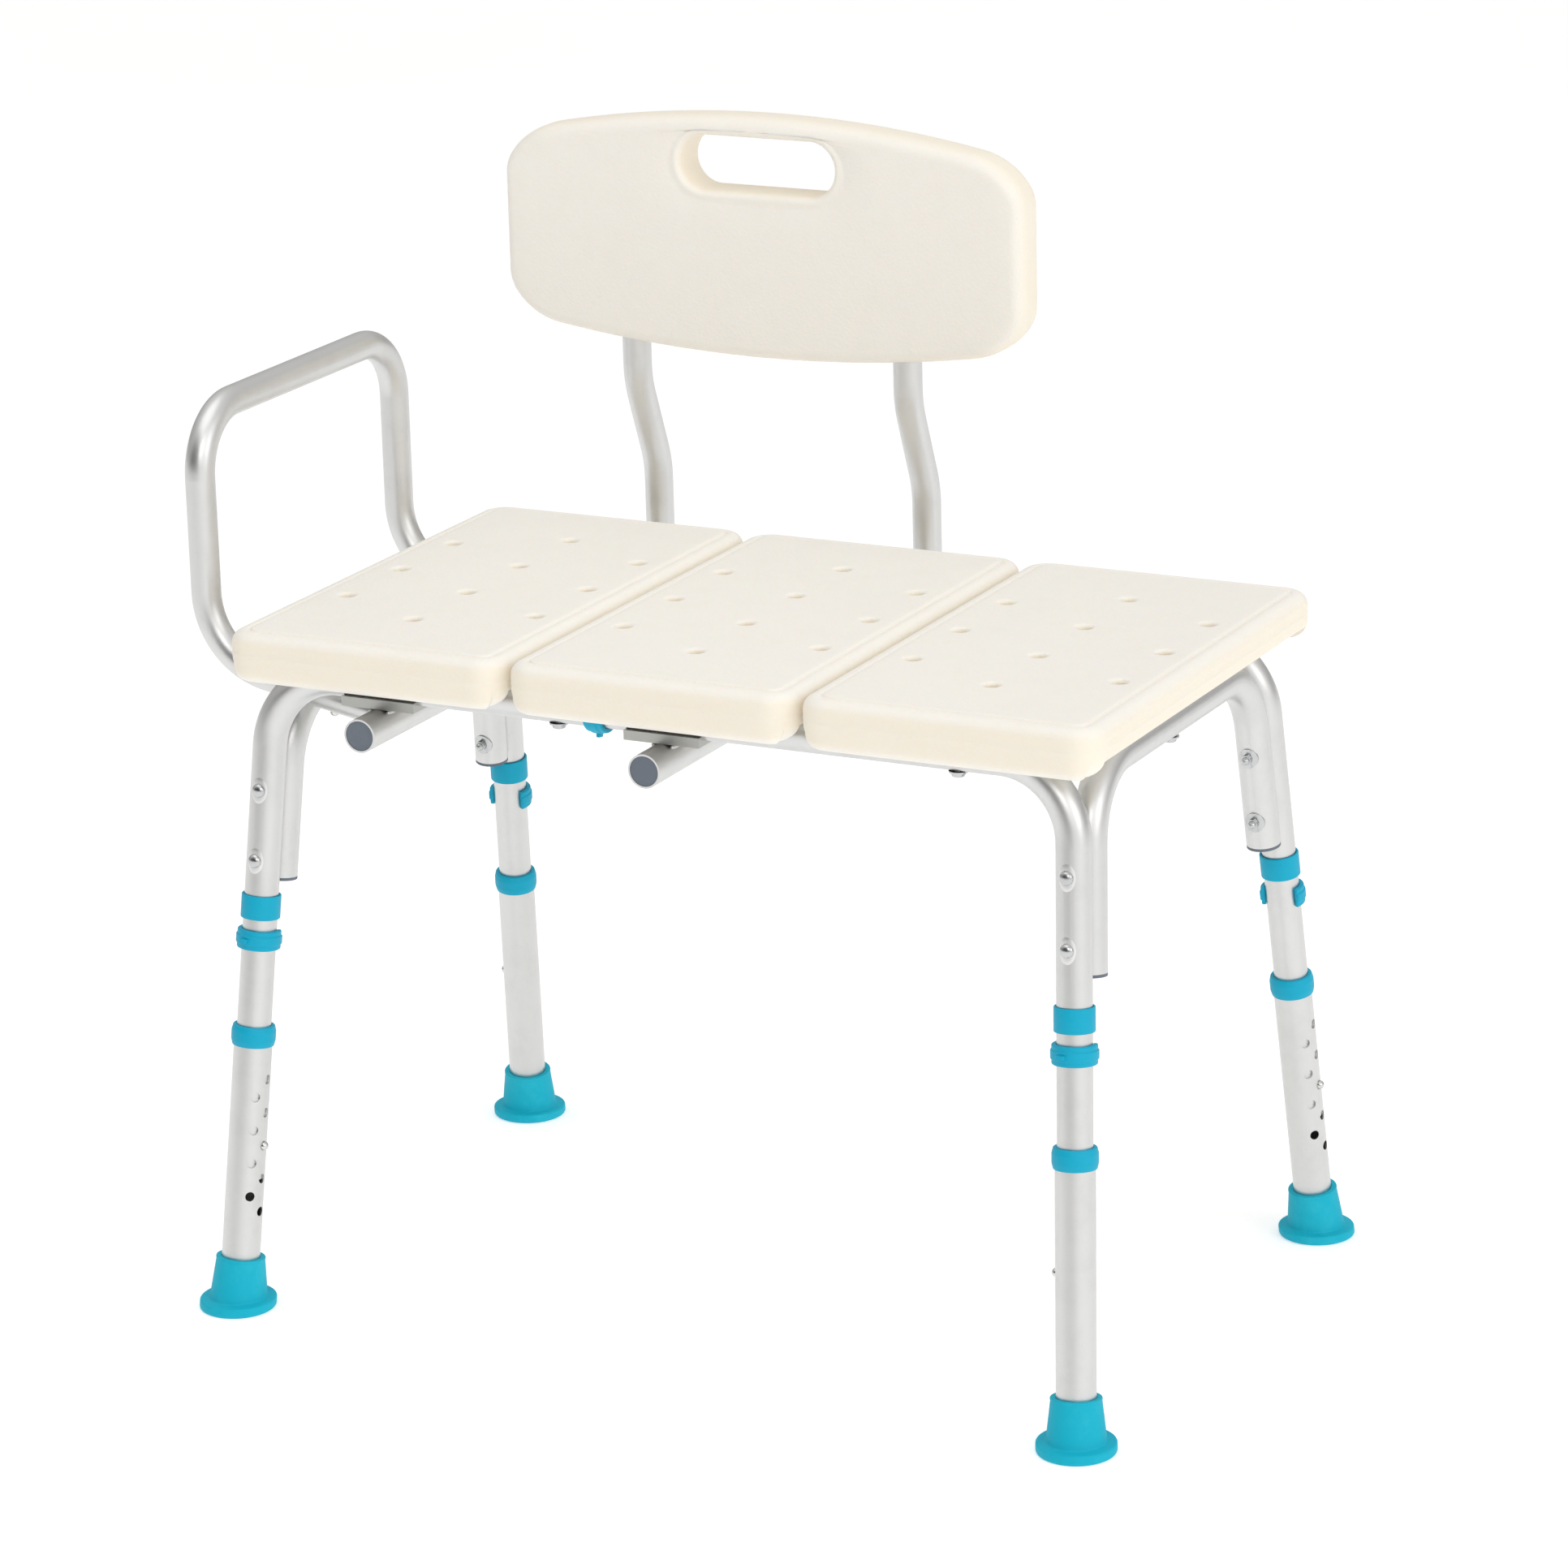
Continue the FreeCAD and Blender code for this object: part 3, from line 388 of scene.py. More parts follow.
teal_collar = trim_plastic("teal_collar", colour(0, 166, 199), colour(4, 174, 205), 0.3,
                           0.42, 0.55, 0.05 * mm)
teal_rubber = trim_plastic("teal_rubber", colour(0, 176, 202), colour(44, 192, 212), 0.45,
                           0.55, 0.7, 0.12 * mm)
slate = trim_plastic("slate", colour(104, 112, 122), colour(120, 127, 135), 0.4,
                     0.42, 0.58, 0.08 * mm)
print(len(bpy.data.materials), "finishes")

# %% [markdown]
# ## Finishes on the carried-over parts
# Every tube, bolt and washer keeps the shape it came with and only changes its material. The name
# of a node starts with its kind, so one table from kind to finish covers them all.

# %% Finish the carried-over nodes
finish_of = {
    "front_rail": tube_rails, "rear_rail": tube_rails, "side_frame": tube_sides, "leg_tube": tube_legs,
    "lower_tube": tube_legs, "receiver_tube": tube_receivers, "backrest_post": tube_posts,
    "arm_rail": tube_arm, "arm_spigots": tube_arm, "coupling_sleeves": tube_legs,
    "receiver_saddles": brushed_saddle, "receiver_plugs": slate, "frame_end_caps": slate,
    "frame_bolts": zinc, "cap_nuts": zinc, "saddle_washers": zinc, "seat_bolts": zinc, "seat_washers": zinc,
    "backrest_screws": zinc, "snap_button": spring_metal, "backrest_button": spring_metal,
    "arm_button": spring_metal, "leg_clip": teal_collar, "rail_clip": teal_collar,
    "upper_collar": teal_collar, "lower_collar": teal_collar, "foot_tip": teal_rubber,
    "seat_panel": seat_cream, "backrest_panel": back_cream,
}
for name, obj in frame["nodes"].items():
    kind = max((k for k in finish_of if name.startswith(k)), key=len)
    obj.data.materials.clear()
    obj.data.materials.append(finish_of[kind])
print("finished", len(frame["nodes"]), "carried-over nodes")

# %% [markdown]
# ## Making surfaces
# Each new piece is a lattice of points worked out as whole arrays. A lattice closes on itself, or
# its first and last rows shrink to a point, and then merging equal points closes the skin. Whether
# the faces point outwards follows from the sign of the volume that they enclose.


# %% Lattice helpers
def lattice_faces(rows, columns, wrap_rows=False):
    """Four-cornered faces between neighbours of a rows x columns lattice whose columns wrap round."""
    r, c = (g.ravel() for g in np.meshgrid(np.arange(rows if wrap_rows else rows - 1), np.arange(columns),
                                           indexing="ij"))
    below, beside = (r + 1) % rows, (c + 1) % columns
    return np.stack([r * columns + c, r * columns + beside,
                     below * columns + beside, below * columns + c], 1)


def signed_volume(points, quads):
    """A sixth of the sum of corner triple products: positive where faces point outwards."""
    a, b, c, d = (points[quads[:, k]] for k in range(4))
    return (np.einsum("ij,ij->i", a, np.cross(b, c)) + np.einsum("ij,ij->i", a, np.cross(c, d))).sum() / 6


def join_lattices(parts):
    """Puts several (points, quads) pairs into one, each turned to face outwards."""
    all_points, all_quads, start = [], [], 0
    for points, quads in parts:
        points = points.reshape(-1, 3)
        centred = points - points.mean(0)
        all_quads.append((quads if signed_volume(centred, quads) > 0 else quads[:, ::-1]) + start)
        all_points.append(points)
        start += len(points)
    return np.concatenate(all_points), np.concatenate(all_quads)


def make_piece(name, parts, stands_for, finish, sharp_degrees=40):
    """A mesh object from lattices. It rides where the CAD node it stands for, or lies on, rides."""
    points, quads = join_lattices(parts)
    used, quads = np.unique(quads, return_inverse=True)
    points, back_to = np.unique(np.round(points[used], 8), axis=0, return_inverse=True)
    quads = back_to.reshape(-1)[quads.reshape(-1, 4)]
    mesh = bpy.data.meshes.new(name)
    loops = [list(dict.fromkeys(q)) for q in quads.tolist()]
    mesh.from_pydata(points.tolist(), [], [q for q in loops if len(q) > 2])
    mesh.shade_smooth()
    mesh.set_sharp_from_angle(angle=math.radians(sharp_degrees))
    mesh.materials.append(finish)
    piece = bpy.data.objects.new(name, mesh)
    bpy.context.scene.collection.objects.link(piece)
    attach(piece, body_of[stands_for])
    return piece


# %% [markdown]
# ## Seat panels
# Each panel is a blow-moulded slab, hollow, with a deep rounded lip at the front and the rear, a
# raised middle with a groove round it, and ten drain holes in columns of three, four and three. It
# could be a box with booleans, but those leave ragged shading round the holes. Here the plan is a
# lattice whose lines pass round square cells at the holes, and each cell is filled with rings that
# go from the square to the circle, over a soft edge and down the well to the same cell below.

# %% Seat panel sizes
plan_corner = 22 * mm
top_edge = 9.5 * mm
plateau_inset = 14 * mm
plateau_rise = 0.8 * mm
groove_depth, groove_width, groove_out = 1.1 * mm, 0.9 * mm, 1.2 * mm
lip_drop = 12.5 * mm
lip_corner = 17.5 * mm
lip_thick = {"front": 20 * mm, "rear": 15 * mm}
drain_radius, drain_soft = 5.4 * mm, 3.4 * mm
drain_pitch = (79.5 * mm, 79.7 * mm)
cell_half, cell_steps = 10 * mm, 8
seam_height, seam_rise, seam_half = 6.5 * mm, 0.22 * mm, 0.5 * mm
round_steps = 8


def smooth_step(value, low, high):
    """Rises from 0 to 1 between low and high as 3t^2 - 2t^3."""
    t = np.clip((value - low) / (high - low), 0, 1)
    return t * t * (3 - 2 * t)


def rounded_rise(distance, radius):
    """How far a quarter-round edge has still to climb at a distance d in: r - sqrt(r^2 - (r - d)^2)."""
    inward = np.clip(radius - distance, 0, radius)
    return radius - np.sqrt(radius ** 2 - inward ** 2)


def plan_lines(half, rim, holes, step=11 * mm):
    """Lattice lines from -half to half: close together at the rim and round the holes, spread between."""
    cells = (np.asarray(holes)[:, None] + np.linspace(-cell_half, cell_half, cell_steps + 1)).ravel()
    marks = np.unique(np.round(np.concatenate([rim - half, half - rim, cells]), 7))
    spans = [np.linspace(a, b, int(np.ceil((b - a) / step)), endpoint=False)
             for a, b in zip(marks[:-1], marks[1:])]
    return np.append(np.concatenate(spans), marks[-1])


def drain_places():
    """Columns of three, four and three holes; the middle column sits half a pitch between the others."""
    return np.array([(column * drain_pitch[0], (i - (count - 1) / 2) * drain_pitch[1])
                     for column, count in ((-1, 3), (0, 4), (1, 3)) for i in range(count)])


# %% Seat panel surface
def panel_surface(low, high, lip_z):
    """Top and bottom sheets over one plan, joined by the side band and by a well at each drain.

    A point's height depends on its distance d in from the plan's edge: the top climbs a quarter
    round near the edge, dips in a groove and steps up onto the plateau. The bottom is a half
    round under each lip, then climbs to the flat underside. The plan's square corners are rounded
    by scaling each corner point by max(a, b) / sqrt(a^2 + b^2)."""
    centre = (np.array(low) + np.array(high)) / 2
    half_x, half_y = (high.x - low.x) / 2, (high.y - low.y) / 2
    plateau_z = high.z
    base_z, under_z = plateau_z - plateau_rise, lip_z + lip_drop
    holes = drain_places()
    curve = 1 - np.cos(np.linspace(0, math.pi / 2, round_steps + 1))
    step_lines = plateau_inset + np.array([-2.6, -1.9, -1.2, -0.6, 0.0, 0.6, 1.2]) * mm
    rim_x = np.concatenate([curve * top_edge, step_lines, [10 * mm, 18 * mm, plan_corner]])
    lips = np.concatenate([line for thick in (lip_thick["front"], lip_thick["rear"])
                           for line in (curve * thick / 2, thick - curve * thick / 2)])
    rim_y = np.concatenate([rim_x, lips, lip_thick["front"] + np.array([1, 2, 3]) * mm])
    xs = plan_lines(half_x, rim_x, np.unique(holes[:, 0]))
    ys = plan_lines(half_y, rim_y, np.unique(holes[:, 1]))
    x, y = np.meshgrid(xs, ys, indexing="ij")
    dx, dy = half_x - abs(x), half_y - abs(y)
    d = np.minimum(dx, dy)

    top = base_z - rounded_rise(d, top_edge)
    top += plateau_rise * smooth_step(d, plateau_inset - 0.6 * mm, plateau_inset + 1.2 * mm)
    top -= groove_depth * np.exp(-((d - plateau_inset + groove_out) / groove_width) ** 2)
    bottom = np.full_like(x, under_z)
    for side, thick in ((-1, lip_thick["front"]), (1, lip_thick["rear"])):
        depth = np.where(side * y > 0, dy, half_y)
        nose = lip_z + rounded_rise(np.minimum(depth, thick - depth), thick / 2)
        nose = np.where(depth > thick, under_z, nose)
        bottom = np.minimum(bottom, np.where(depth <= thick, nose, under_z))
        bottom = np.where(depth <= thick / 2, nose, bottom)
    bottom = np.maximum(bottom, lip_z + rounded_rise(dx, lip_corner))

    a, b = abs(x) - (half_x - plan_corner), abs(y) - (half_y - plan_corner)
    in_corner = (a > 0) & (b > 0)
    shrink = np.where(in_corner, np.maximum(a, b) / np.maximum(np.hypot(a, b), 1e-9), 1.0)
    px = np.sign(x) * np.where(in_corner, half_x - plan_corner + a * shrink, abs(x))
    py = np.sign(y) * np.where(in_corner, half_y - plan_corner + b * shrink, abs(y))
    sheets = np.stack([np.stack([px, py, z], -1) for z in (top, bottom)]).reshape(-1, 3)

    nx, ny = len(xs), len(ys)
    index = np.arange(nx * ny).reshape(nx, ny)
    keep = np.ones((nx - 1, ny - 1), bool)
    points, quads, used = [sheets], [], len(sheets)
    for hx, hy in holes:
        i = int(np.argmin(abs(xs - hx + cell_half)))
        j = int(np.argmin(abs(ys - hy + cell_half)))
        n = cell_steps
        keep[i:i + n, j:j + n] = False
        loop = np.concatenate([index[i:i + n, j], index[i + n, j:j + n],
                               index[i + n:i:-1, j + n], index[i, j + n:j:-1]])
        rim = sheets[loop, :2]
        aim = (rim - (hx, hy)) / np.linalg.norm(rim - (hx, hy), axis=1, keepdims=True)
        turn = np.linspace(0, math.pi / 2, 6)
        mouth_r = drain_radius + drain_soft * (1 - np.sin(turn))
        radii = np.concatenate([mouth_r, mouth_r[::-1]])
        heights = np.concatenate([plateau_z - drain_soft * (1 - np.cos(turn)),
                                  (under_z + drain_soft * (1 - np.cos(turn)))[::-1]])
        wells = np.concatenate([(hx, hy) + radii[:, None, None] * aim[None],
                                np.broadcast_to(heights[:, None, None], (len(radii), len(loop), 1))], -1)
        well_rows = used + np.arange(len(radii) * len(loop)).reshape(len(radii), -1)
        rows = np.concatenate([loop[None], well_rows, loop[None] + nx * ny])
        quads.append(rows.ravel()[lattice_faces(len(rows), len(loop))][:, ::-1])
        points.append(wells.reshape(-1, 3))
        used += len(points[-1])

    cell = np.stack([index[:-1, :-1], index[1:, :-1], index[1:, 1:], index[:-1, 1:]], -1)[keep]
    quads += [cell, cell[:, ::-1] + nx * ny]
    edge = np.concatenate([index[:-1, 0], index[-1, :-1], index[:0:-1, -1], index[0, :0:-1]])
    outward = sheets[edge, :2] - np.clip(sheets[edge, :2], (plan_corner - half_x, plan_corner - half_y),
                                         (half_x - plan_corner, half_y - plan_corner))
    outward /= np.linalg.norm(outward, axis=1, keepdims=True)
    seam_z = base_z - top_edge - seam_height
    bands = [(seam_z + seam_half, 0.0), (seam_z, seam_rise), (seam_z - seam_half, 0.0)]
    bands = np.stack([np.concatenate([sheets[edge, :2] + rise * outward, np.full((len(edge), 1), z)], 1)
                      for z, rise in bands])
    band_rows = used + np.arange(bands.shape[0] * len(edge)).reshape(bands.shape[0], -1)
    rows = np.concatenate([edge[None], band_rows, edge[None] + nx * ny])
    points.append(bands.reshape(-1, 3))
    quads.append(rows.ravel()[lattice_faces(len(rows), len(edge))][:, ::-1])
    return np.concatenate(points) + (centre[0], centre[1], 0), np.concatenate(quads)


boss_radius = 11 * mm
frame_radius = 12.7 * mm
rail_gap = 0.03 * mm


def side_boss(centre_x, centre_y, foot_z, top_z, steps=40):
    """A round boss that stands on a side rail: rings drawn to a point at both ends, flared at the top."""
    angle = np.linspace(0, 2 * math.pi, steps, endpoint=False)
    radius = np.array([0, boss_radius - 1 * mm, boss_radius, boss_radius, boss_radius + 1.5 * mm, 0])
    height = np.array([foot_z, foot_z, foot_z + 1 * mm, top_z - 2 * mm, top_z, top_z])
    points = np.stack([centre_x + radius[:, None] * np.cos(angle),
                       centre_y + radius[:, None] * np.sin(angle),
                       np.broadcast_to(height[:, None], (len(height), steps))], -1)
    return points.reshape(-1, 3), lattice_faces(len(height), steps)


lip_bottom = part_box("seat_panel_middle")[0].z
seat_underside = lip_bottom + lip_drop
for side in ("left", "middle", "right"):
    node = f"seat_panel_{side}"
    low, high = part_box(node)
    surfaces = [panel_surface(low, high, lip_bottom)]
    if side != "middle":
        rail_low, rail_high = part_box(f"side_frame_{side}")
        rail_x = rail_high.x - frame_radius if side == "left" else rail_low.x + frame_radius
        rail_y, rail_top = (rail_low.y + rail_high.y) / 2, rail_high.z + rail_gap
        surfaces.append(side_boss(rail_x, rail_y, rail_top, seat_underside + 1 * mm))
    panel = make_piece(f"moulded_{node}", surfaces, node, seat_cream)
    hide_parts(node)
    print(panel.name, len(panel.data.polygons), "faces")

# %% [markdown]
# ## Backrest
# The backrest is one hollow moulding: arched above and below, with big corners, soft thick edges and
# a hand slot whose rim is rounded on both faces. A plate with one hole is a ring, so it is a single
# lattice closed both ways: one direction runs round the slot, the other runs out over the front
# face, round the outer edge, back over the rear face and through the slot.

# %% Backrest surface
back_corner = 42 * mm
arch_radius = {"top": 950 * mm, "bottom": 1140 * mm}
slot_size = (130 * mm, 42 * mm)
slot_below_top = 37 * mm
outer_edge, outer_depth = 10.5 * mm, 12 * mm
slot_edge, slot_edge_depth = 5 * mm, 6 * mm
rim_width, rim_depth = 9 * mm, 0.9 * mm


def rounded_rectangle(half_x, half_z, radius, count):
    """Points and outward directions, evenly spaced round four straights and four quarter circles.

    The corner centre is the nearest point of the rectangle shrunk by the radius."""
    straights = np.array([2 * (half_x - radius), 2 * (half_z - radius)] * 2)
    lengths = np.stack([straights, np.full(4, radius * math.pi / 2)], 1).ravel()
    starts = np.concatenate([[0], np.cumsum(lengths)])
    along = np.arange(count) / count * starts[-1]
    piece = np.searchsorted(starts, along, side="right") - 1
    t = (along - starts[piece]) / np.maximum(lengths[piece], 1e-12)
    side = piece // 2
    heading = side * math.pi / 2
    turn = np.where(piece % 2 == 1, t * math.pi / 2, 0.0)
    normal = np.stack([np.sin(heading + turn), -np.cos(heading + turn)], 1)
    corner = np.array([(1, -1), (1, 1), (-1, 1), (-1, -1)])[side] * (half_x - radius, half_z - radius)
    before = np.array([(-1, -1), (1, -1), (1, 1), (-1, 1)])[side] * (half_x - radius, half_z - radius)
    centre = np.where((piece % 2 == 1)[:, None], corner, before + (corner - before) * t[:, None])
    return centre + normal * radius, normal


def backrest_surface(low, high, count=288):
    """A lattice whose rows follow the section: slot wall, rim, face, outer edge and back again.

    The outline is a rounded rectangle whose upper half sinks by R - sqrt(R^2 - x^2) away from the
    middle, and whose lower half rises in the same way."""
    centre = (np.array(low) + np.array(high)) / 2
    half_x, half_y, half_z = (np.array(high) - np.array(low)) / 2
    outline, facing = rounded_rectangle(half_x, half_z, back_corner, count)
    share = np.clip(outline[:, 1] / half_z, -1, 1)
    arch = np.where(share > 0, arch_radius["top"], arch_radius["bottom"])
    outline[:, 1] -= share * (arch - np.sqrt(arch ** 2 - outline[:, 0] ** 2))
    run = np.roll(outline, -1, 0) - np.roll(outline, 1, 0)
    facing = np.stack([run[:, 1], -run[:, 0]], 1) / np.linalg.norm(run, axis=1, keepdims=True)
    slot_corner = slot_size[1] / 2 - 0.1 * mm
    slot, slot_facing = rounded_rectangle(slot_size[0] / 2, slot_size[1] / 2, slot_corner, count)
    slot[:, 1] += half_z - slot_below_top

    turn = np.linspace(0, math.pi / 2, 8)
    inner = [(slot + slot_facing * slot_edge * (1 - math.cos(a)),
              half_y - slot_edge_depth * (1 - math.sin(a))) for a in turn]
    outer = [(outline - facing * outer_edge * (1 - math.cos(a)), half_y - outer_depth * (1 - math.sin(a)))
             for a in turn[::-1]]
    first, last = inner[-1][0], outer[0][0]
    room = np.linalg.norm(last - first, axis=1, keepdims=True)
    rim = np.minimum(rim_width / room, 0.8)
    dip = rim_depth * (rim < 0.8).ravel()
    face = [(first + (last - first) * rim * s, half_y - dip * math.sin(math.pi * s))
            for s in (0.25, 0.5, 0.75, 1.0)]
    face += [(first + (last - first) * (rim + (1 - rim) * s), half_y) for s in (0.2, 0.45, 0.7, 0.9)]
    front = inner + face + outer
    rows = [(flat, -depth) for flat, depth in front] + [(flat, depth) for flat, depth in front[::-1]]
    points = np.stack([np.stack([flat[:, 0], np.broadcast_to(depth, count), flat[:, 1]], 1)
                       for flat, depth in rows])
    return points.reshape(-1, 3) + centre, lattice_faces(len(rows), count, wrap_rows=True)


backrest = make_piece("moulded_backrest", [backrest_surface(*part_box("backrest_panel"))], "backrest_panel",
                      back_cream)
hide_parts("backrest_panel")
print(backrest.name, len(backrest.data.polygons), "faces")

# %% [markdown]
# ## Turned rubber and plastic
# Feet and collars are round about a leg, and the legs lean. Each is an outline of radius and height
# carried round the leg's axis. A foot also stands flat: its rings start level on the floor and lean
# over by the time they reach the leg, so the flange and the cone are one skin, as they are moulded.

# %% Leg axes
lean_x, lean_y = 0.0485, 0.1245
leg_signs = {"fl": (-1, -1), "fr": (1, -1), "rr": (1, 1), "rl": (-1, 1)}
foot_box = {leg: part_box(f"foot_tip_{leg}") for leg in leg_signs}
foot_at = {leg: np.array([(low.x + high.x) / 2, (low.y + high.y) / 2, 0])
           for leg, (low, high) in foot_box.items()}
leg_up = {leg: np.array([-sx * lean_x, -sy * lean_y, 1.0]) for leg, (sx, sy) in leg_signs.items()}


def unit(v):
    """A direction made one long."""
    return v / np.linalg.norm(v)


def on_leg(leg, z):
    """The point of a leg's axis at a height."""
    return foot_at[leg] + leg_up[leg] * z


def square_to(axis, towards):
    """The part of a direction that is square to an axis, made one long."""
    return unit(towards - axis * np.dot(axis, towards))


def rounded_outline(corners, radii, arc_steps=5):
    """A closed outline with each corner rounded by an arc.

    The arc's centre lies on the corner's bisector, r / sin(half angle) away."""
    corners = np.array(corners, float)
    befores, afters = np.roll(corners, 1, 0), np.roll(corners, -1, 0)
    points = []
    for corner, before, after, radius in zip(corners, befores, afters, radii):
        a, b = unit(before - corner), unit(after - corner)
        half = math.acos(np.clip(np.dot(a, b), -1, 1)) / 2
        if radius == 0 or abs(half - math.pi / 2) < 1e-3:
            points.append(corner[None])
            continue
        start, end = corner + a * radius / math.tan(half), corner + b * radius / math.tan(half)
        middle = corner + unit(a + b) * radius / math.sin(half)
        t = np.linspace(0, 1, arc_steps)[:, None]
        spread = (start - middle) * (1 - t) + (end - middle) * t
        points.append(middle + spread / np.linalg.norm(spread, axis=1, keepdims=True) * radius)
    return np.concatenate(points)


def turned(outline, centre, axis, towards, sweep=360.0, steps=56):
    """Carries a closed (radius, height) outline round an axis: centre + r (cos t u + sin t v) + h axis.

    A part turn starts and ends in rows drawn in to the outline's middle: closed, soft ends."""
    side = np.cross(axis, towards)
    full = sweep >= 360.0
    angle = np.radians(np.linspace(-sweep / 2, sweep / 2, steps, endpoint=not full))
    shrink = np.ones(steps)
    if not full:
        ease = math.radians(2.5)
        angle = np.concatenate([[angle[0]] * 2, [angle[0] + ease], angle[1:-1],
                                [angle[-1] - ease], [angle[-1]] * 2])
        shrink = np.concatenate([[0.0, 0.6], np.ones(len(angle) - 4), [0.6, 0.0]])
    middle = (outline.max(0) + outline.min(0)) / 2
    drawn = middle + (outline[None] - middle) * shrink[:, None, None]
    around = np.cos(angle)[:, None, None] * towards + np.sin(angle)[:, None, None] * side
    points = centre + drawn[..., :1] * around + drawn[..., 1:] * axis
    return points.reshape(-1, 3), lattice_faces(len(angle), len(outline), wrap_rows=full)


# %% Feet
flange_thick = 7.2 * mm
foot_outline = rounded_outline(
    np.array([(0, 1.0), (18, 1.0), (20, 0), (28.8, 0), (28.8, 7.2), (21.6, 8.0), (18.2, 36.9), (18.5, 37.1),
              (18.4, 38.6), (14.42, 38.6), (14.42, 9.0), (0, 9.0)]) * mm,
    np.array([0, 0, 0.4, 2.0, 1.5, 1.6, 0.2, 0.2, 0.6, 0.6, 0.5, 0]) * mm)


def foot_surface(leg, steps=72):
    """Rings of the foot outline. A ring's plane leans from level to square with the leg as it rises."""
    foot, up = foot_at[leg], unit(leg_up[leg])
    radius, height = foot_outline[:, 0], foot_outline[:, 1]
    tilt = smooth_step(height, flange_thick, 20 * mm)[:, None]
    axis = (1 - tilt) * (0, 0, 1) + tilt * up
    axis /= np.linalg.norm(axis, axis=1, keepdims=True)
    u = np.cross((0, 1, 0), axis)
    u /= np.linalg.norm(u, axis=1, keepdims=True)
    v = np.cross(axis, u)
    angle = np.linspace(0, 2 * math.pi, steps, endpoint=False)[:, None, None]
    around = np.cos(angle) * u + np.sin(angle) * v
    points = foot + leg_up[leg] * height[:, None] + radius[:, None] * around
    return points.reshape(-1, 3), lattice_faces(steps, len(height), wrap_rows=True)


for leg in leg_signs:
    foot = make_piece(f"rubber_foot_{leg}", [foot_surface(leg)], f"foot_tip_{leg}",
                      teal_rubber, 50)
    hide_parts(f"foot_tip_{leg}")
print("four rubber feet")

# %% Collars
joint_height, lower_top = 312 * mm, 214 * mm
upper_lip, lower_lip = 2.4 * mm, 1.8 * mm
upper_outline = rounded_outline(
    np.array([(12.75, -18), (14.65, -18), (14.65, 0), (13.1, 0), (13.1, -3.2), (12.75, -3.2)]) * mm,
    np.array([0.2, 0.7, 0.8, 0.4, 0.1, 0.1]) * mm)
lower_outline = rounded_outline(
    np.array([(14.36, -15.5), (15.5, -15.5), (16.5, -11.2), (16.5, -4.3), (15.4, 0), (12.82, 0),
              (12.82, -1.75), (14.36, -1.75)]) * mm,
    np.array([0.2, 0.7, 1.2, 1.2, 0.9, 0.4, 0.1, 0.1]) * mm)
for leg in leg_signs:
    axis = unit(leg_up[leg])
    face = square_to(axis, np.array([1.0, 0, 0]))
    upper = turned(upper_outline, on_leg(leg, joint_height + upper_lip), axis, face)
    lower = turned(lower_outline, on_leg(leg, lower_top) + axis * lower_lip, axis, face)
    for kind, surface in (("upper_collar", upper), ("lower_collar", lower)):
        node = f"{kind}_{leg}"
        collar = make_piece(f"moulded_{node}", [surface], node, teal_collar)
        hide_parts(node)
print("eight collars")

# %% [markdown]
# ## Spring clips
# A C-shaped clip with a rib and a small pull tab snaps round each leg and under each long rail, and
# its pin locks the tubes. The band is an outline carried part of the way round, with soft ends.

# %% Spring clips
clip_inner, clip_outer = 12.9 * mm, 16.2 * mm
clip_half, rib_half, rib_rise, rib_slope = 7.25 * mm, 2.9 * mm, 0.85 * mm, 0.8 * mm
clip_wrap, tab_turn = 236.0, math.radians(-9)
band_outline = rounded_outline(
    [(clip_inner, -clip_half), (clip_outer, -clip_half), (clip_outer, -rib_half - rib_slope),
     (clip_outer + rib_rise, -rib_half), (clip_outer + rib_rise, rib_half),
     (clip_outer, rib_half + rib_slope), (clip_outer, clip_half), (clip_inner, clip_half)],
    np.array([0.5, 1.2, 0.4, 0.4, 0.4, 0.4, 1.2, 0.5]) * mm)
tab_outline = rounded_outline(np.array([(-3.4, -1.5), (3.4, -1.5), (3.4, 1.5), (-3.4, 1.5)]) * mm,
                              np.array([1.3] * 4) * mm)


def pull_tab(centre, axis, out):
    """A rounded block standing out from the band: the outline moved outwards, and drawn in at its end."""
    side = np.cross(axis, out)
    reach = np.array([1.5, 1.5, 5.4, 5.9, 5.9]) * mm + clip_outer - 2.5 * mm
    size = np.array([0.0, 1.0, 1.0, 0.85, 0.0])
    points = (centre + reach[:, None, None] * out + size[:, None, None] * (
        tab_outline[None, :, :1] * side + tab_outline[None, :, 1:] * axis))
    return points.reshape(-1, 3), lattice_faces(len(reach), len(tab_outline))


def clip_pin(centre, axis, out, radius=3.0 * mm, tip=8 * mm):
    """The locking pin: a short round bar from inside the tubes out to the band."""
    side = np.cross(axis, out)
    angle = np.linspace(0, 2 * math.pi, 20, endpoint=False)
    reach = np.array([tip, tip, tip + 0.8 * mm, clip_inner + 1 * mm, clip_inner + 1 * mm])
    size = np.array([0.0, 0.8, 1.0, 1.0, 0.0]) * radius
    ring = np.cos(angle)[:, None] * side + np.sin(angle)[:, None] * axis
    points = centre + reach[:, None, None] * out + size[:, None, None] * ring
    return points.reshape(-1, 3), lattice_faces(len(reach), len(angle))


def add_clip(node, centre, axis, out):
    """One clip from its band, tab and pin, in place of the node."""
    tab_out = out * math.cos(tab_turn) + np.cross(axis, out) * math.sin(tab_turn)
    clip = make_piece(f"moulded_{node}", [turned(band_outline, centre, axis, out, clip_wrap),
                                          pull_tab(centre, axis, tab_out), clip_pin(centre, axis, out)],
                      node, teal_collar)
    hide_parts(node)


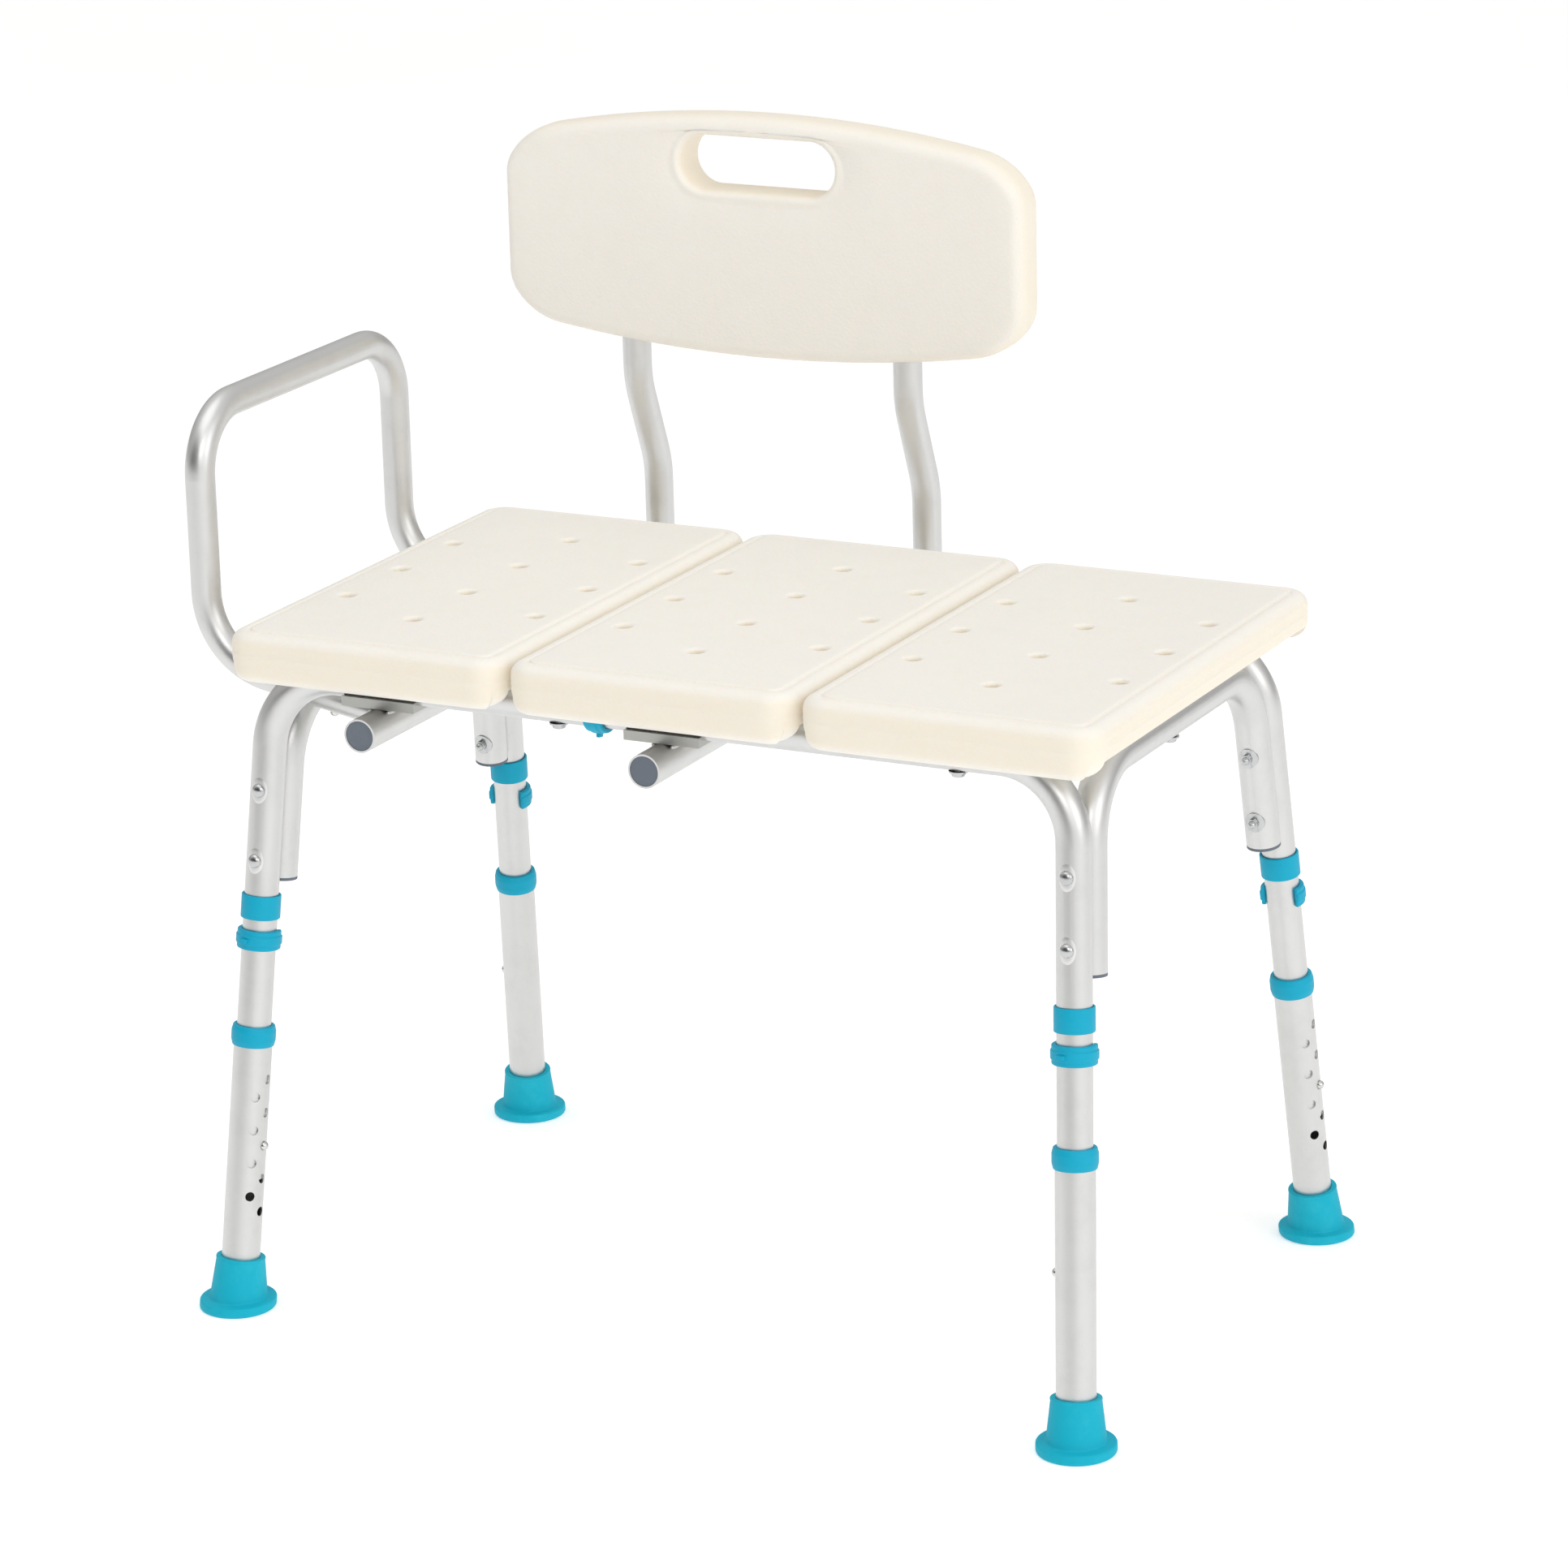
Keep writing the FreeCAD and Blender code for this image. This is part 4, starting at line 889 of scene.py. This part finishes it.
clip_height = 281 * mm
for leg, (sx, sy) in leg_signs.items():
    axis = unit(leg_up[leg])
    add_clip(f"leg_clip_{leg}", on_leg(leg, clip_height), axis, square_to(axis, np.array([0, sy, 0.0])))
for where in ("front", "rear"):
    low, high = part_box(f"rail_clip_{where}")
    rail_low, rail_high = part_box(f"{where}_rail_left")
    centre = np.array([(low.x + high.x) / 2, (low.y + high.y) / 2, rail_high.z - frame_radius])
    add_clip(f"rail_clip_{where}", centre, np.array([1.0, 0, 0]), np.array([0, 0, -1.0]))
print("six spring clips")

# %% [markdown]
# ## Bolt heads
# Two domed bolts in each leg hold the side frames on. The tube is pressed flat round each bolt, so the
# head sits in an oval, and the oval's pale colour is a painted sheen for the light that the flat catches.
# Both are caps laid over the leg: the oval is thin, follows the tube's curve and ends at its surface,
# and the head is half of a flattened ball.

# %% Bolt heads
head_radius, head_rise, head_foot = 5.2 * mm, 3.1 * mm, 0.8 * mm
pad_half, pad_rise = (6.6 * mm, 9.6 * mm), 0.35 * mm
bolt_rise = {"left": (81.0, 28.5), "right": (93.0, 42.5)}


def bolt_head(centre, axis, out, around=36):
    """A cap of height rise * sqrt(1 - (r / R)^2) on a short straight foot with a flat underside."""
    side = np.cross(axis, out)
    t = np.linspace(0, math.pi / 2, 9)
    radius = np.concatenate([[0.0], [head_radius], head_radius * np.cos(t)])
    height = np.concatenate([[-head_foot], [-head_foot], head_rise * np.sin(t)])
    angle = np.linspace(0, 2 * math.pi, around, endpoint=False)
    ring = np.cos(angle)[:, None] * side + np.sin(angle)[:, None] * axis
    points = centre + radius[:, None, None] * ring + height[:, None, None] * out
    return points.reshape(-1, 3), lattice_faces(len(radius), around)


def pressed_oval(leg_centre, axis, out, around=40):
    """An ellipse wrapped on the tube: across by an angle of x / R, along by y.

    Rings run out over the top, which is nearly flat and drops at its rim, and back underneath."""
    side = np.cross(axis, out)
    share = np.array([0.0, 0.35, 0.7, 0.88, 1.0, 1.0, 0.7, 0.35, 0.0])
    lift = np.array([0.35, 0.34, 0.32, 0.22, 0.02, -0.3, -0.3, -0.3, -0.3]) * mm
    angle = np.linspace(0, 2 * math.pi, around, endpoint=False)
    turn = share[:, None] * pad_half[0] * np.cos(angle) / frame_radius
    along = share[:, None] * pad_half[1] * np.sin(angle)
    radius = frame_radius + lift[:, None]
    points = (leg_centre + along[..., None] * axis + (radius * np.cos(turn))[..., None] * out
              + (radius * np.sin(turn))[..., None] * side)
    return points.reshape(-1, 3), lattice_faces(len(share), around)


heads, ovals = [], []
for leg, (sx, sy) in leg_signs.items():
    axis = unit(leg_up[leg])
    out = square_to(axis, np.array([0, sy, 0.0]))
    for rise in bolt_rise["left" if sx < 0 else "right"]:
        middle = on_leg(leg, joint_height + rise * mm)
        heads.append(bolt_head(middle + out * (frame_radius + pad_rise), axis, out))
        ovals.append(pressed_oval(middle, axis, out))
make_piece("bolt_domes", heads, "frame_bolts", zinc, 60)
# The ovals' paleness is painted sheen, not a different metal.
make_piece("pressed_ovals", ovals, "front_rail_left", pressed_oval_painted_sheen, 60)
print(len(heads), "domed bolt heads")

# %% [markdown]
# ## Welds
# Each receiver hangs from its saddles on weld beads. A bead is a row of overlapping ripples: a tube
# whose radius swells along its length.

# %% Weld beads
bead_radius, bead_half_length, bead_offset, bead_drop = 2.1 * mm, 13 * mm, 7.44 * mm, 2.2 * mm


def weld_bead(centre, steps=60, around=14):
    """A rippled bead along Y: radius r sqrt(1 - t^6) (1 + 0.12 cos 34t), with t from -1 to 1."""
    t = np.linspace(-1, 1, steps)
    radius = bead_radius * np.sqrt(np.clip(1 - t ** 6, 0, 1)) * (1 + 0.12 * np.cos(t * 34))
    angle = np.linspace(0, 2 * math.pi, around, endpoint=False)
    points = np.stack([centre[0] + radius[:, None] * np.cos(angle),
                       np.broadcast_to((centre[1] + t * bead_half_length)[:, None], (steps, around)),
                       centre[2] + radius[:, None] * np.sin(angle)], -1)
    return points.reshape(-1, 3), lattice_faces(steps, around)


saddle_low, saddle_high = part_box("receiver_saddles")
saddle_half_depth = 14 * mm
beads = []
for side in ("left", "right"):
    low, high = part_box(f"receiver_tube_{side}")
    x = (low.x + high.x) / 2
    for y in (saddle_low.y + saddle_half_depth, saddle_high.y - saddle_half_depth):
        beads += [weld_bead((x + s * bead_offset, y, high.z - bead_drop)) for s in (-1, 1)]
make_piece("weld_beads", beads, "receiver_saddles", weld_metal)
print(len(beads), "weld beads")
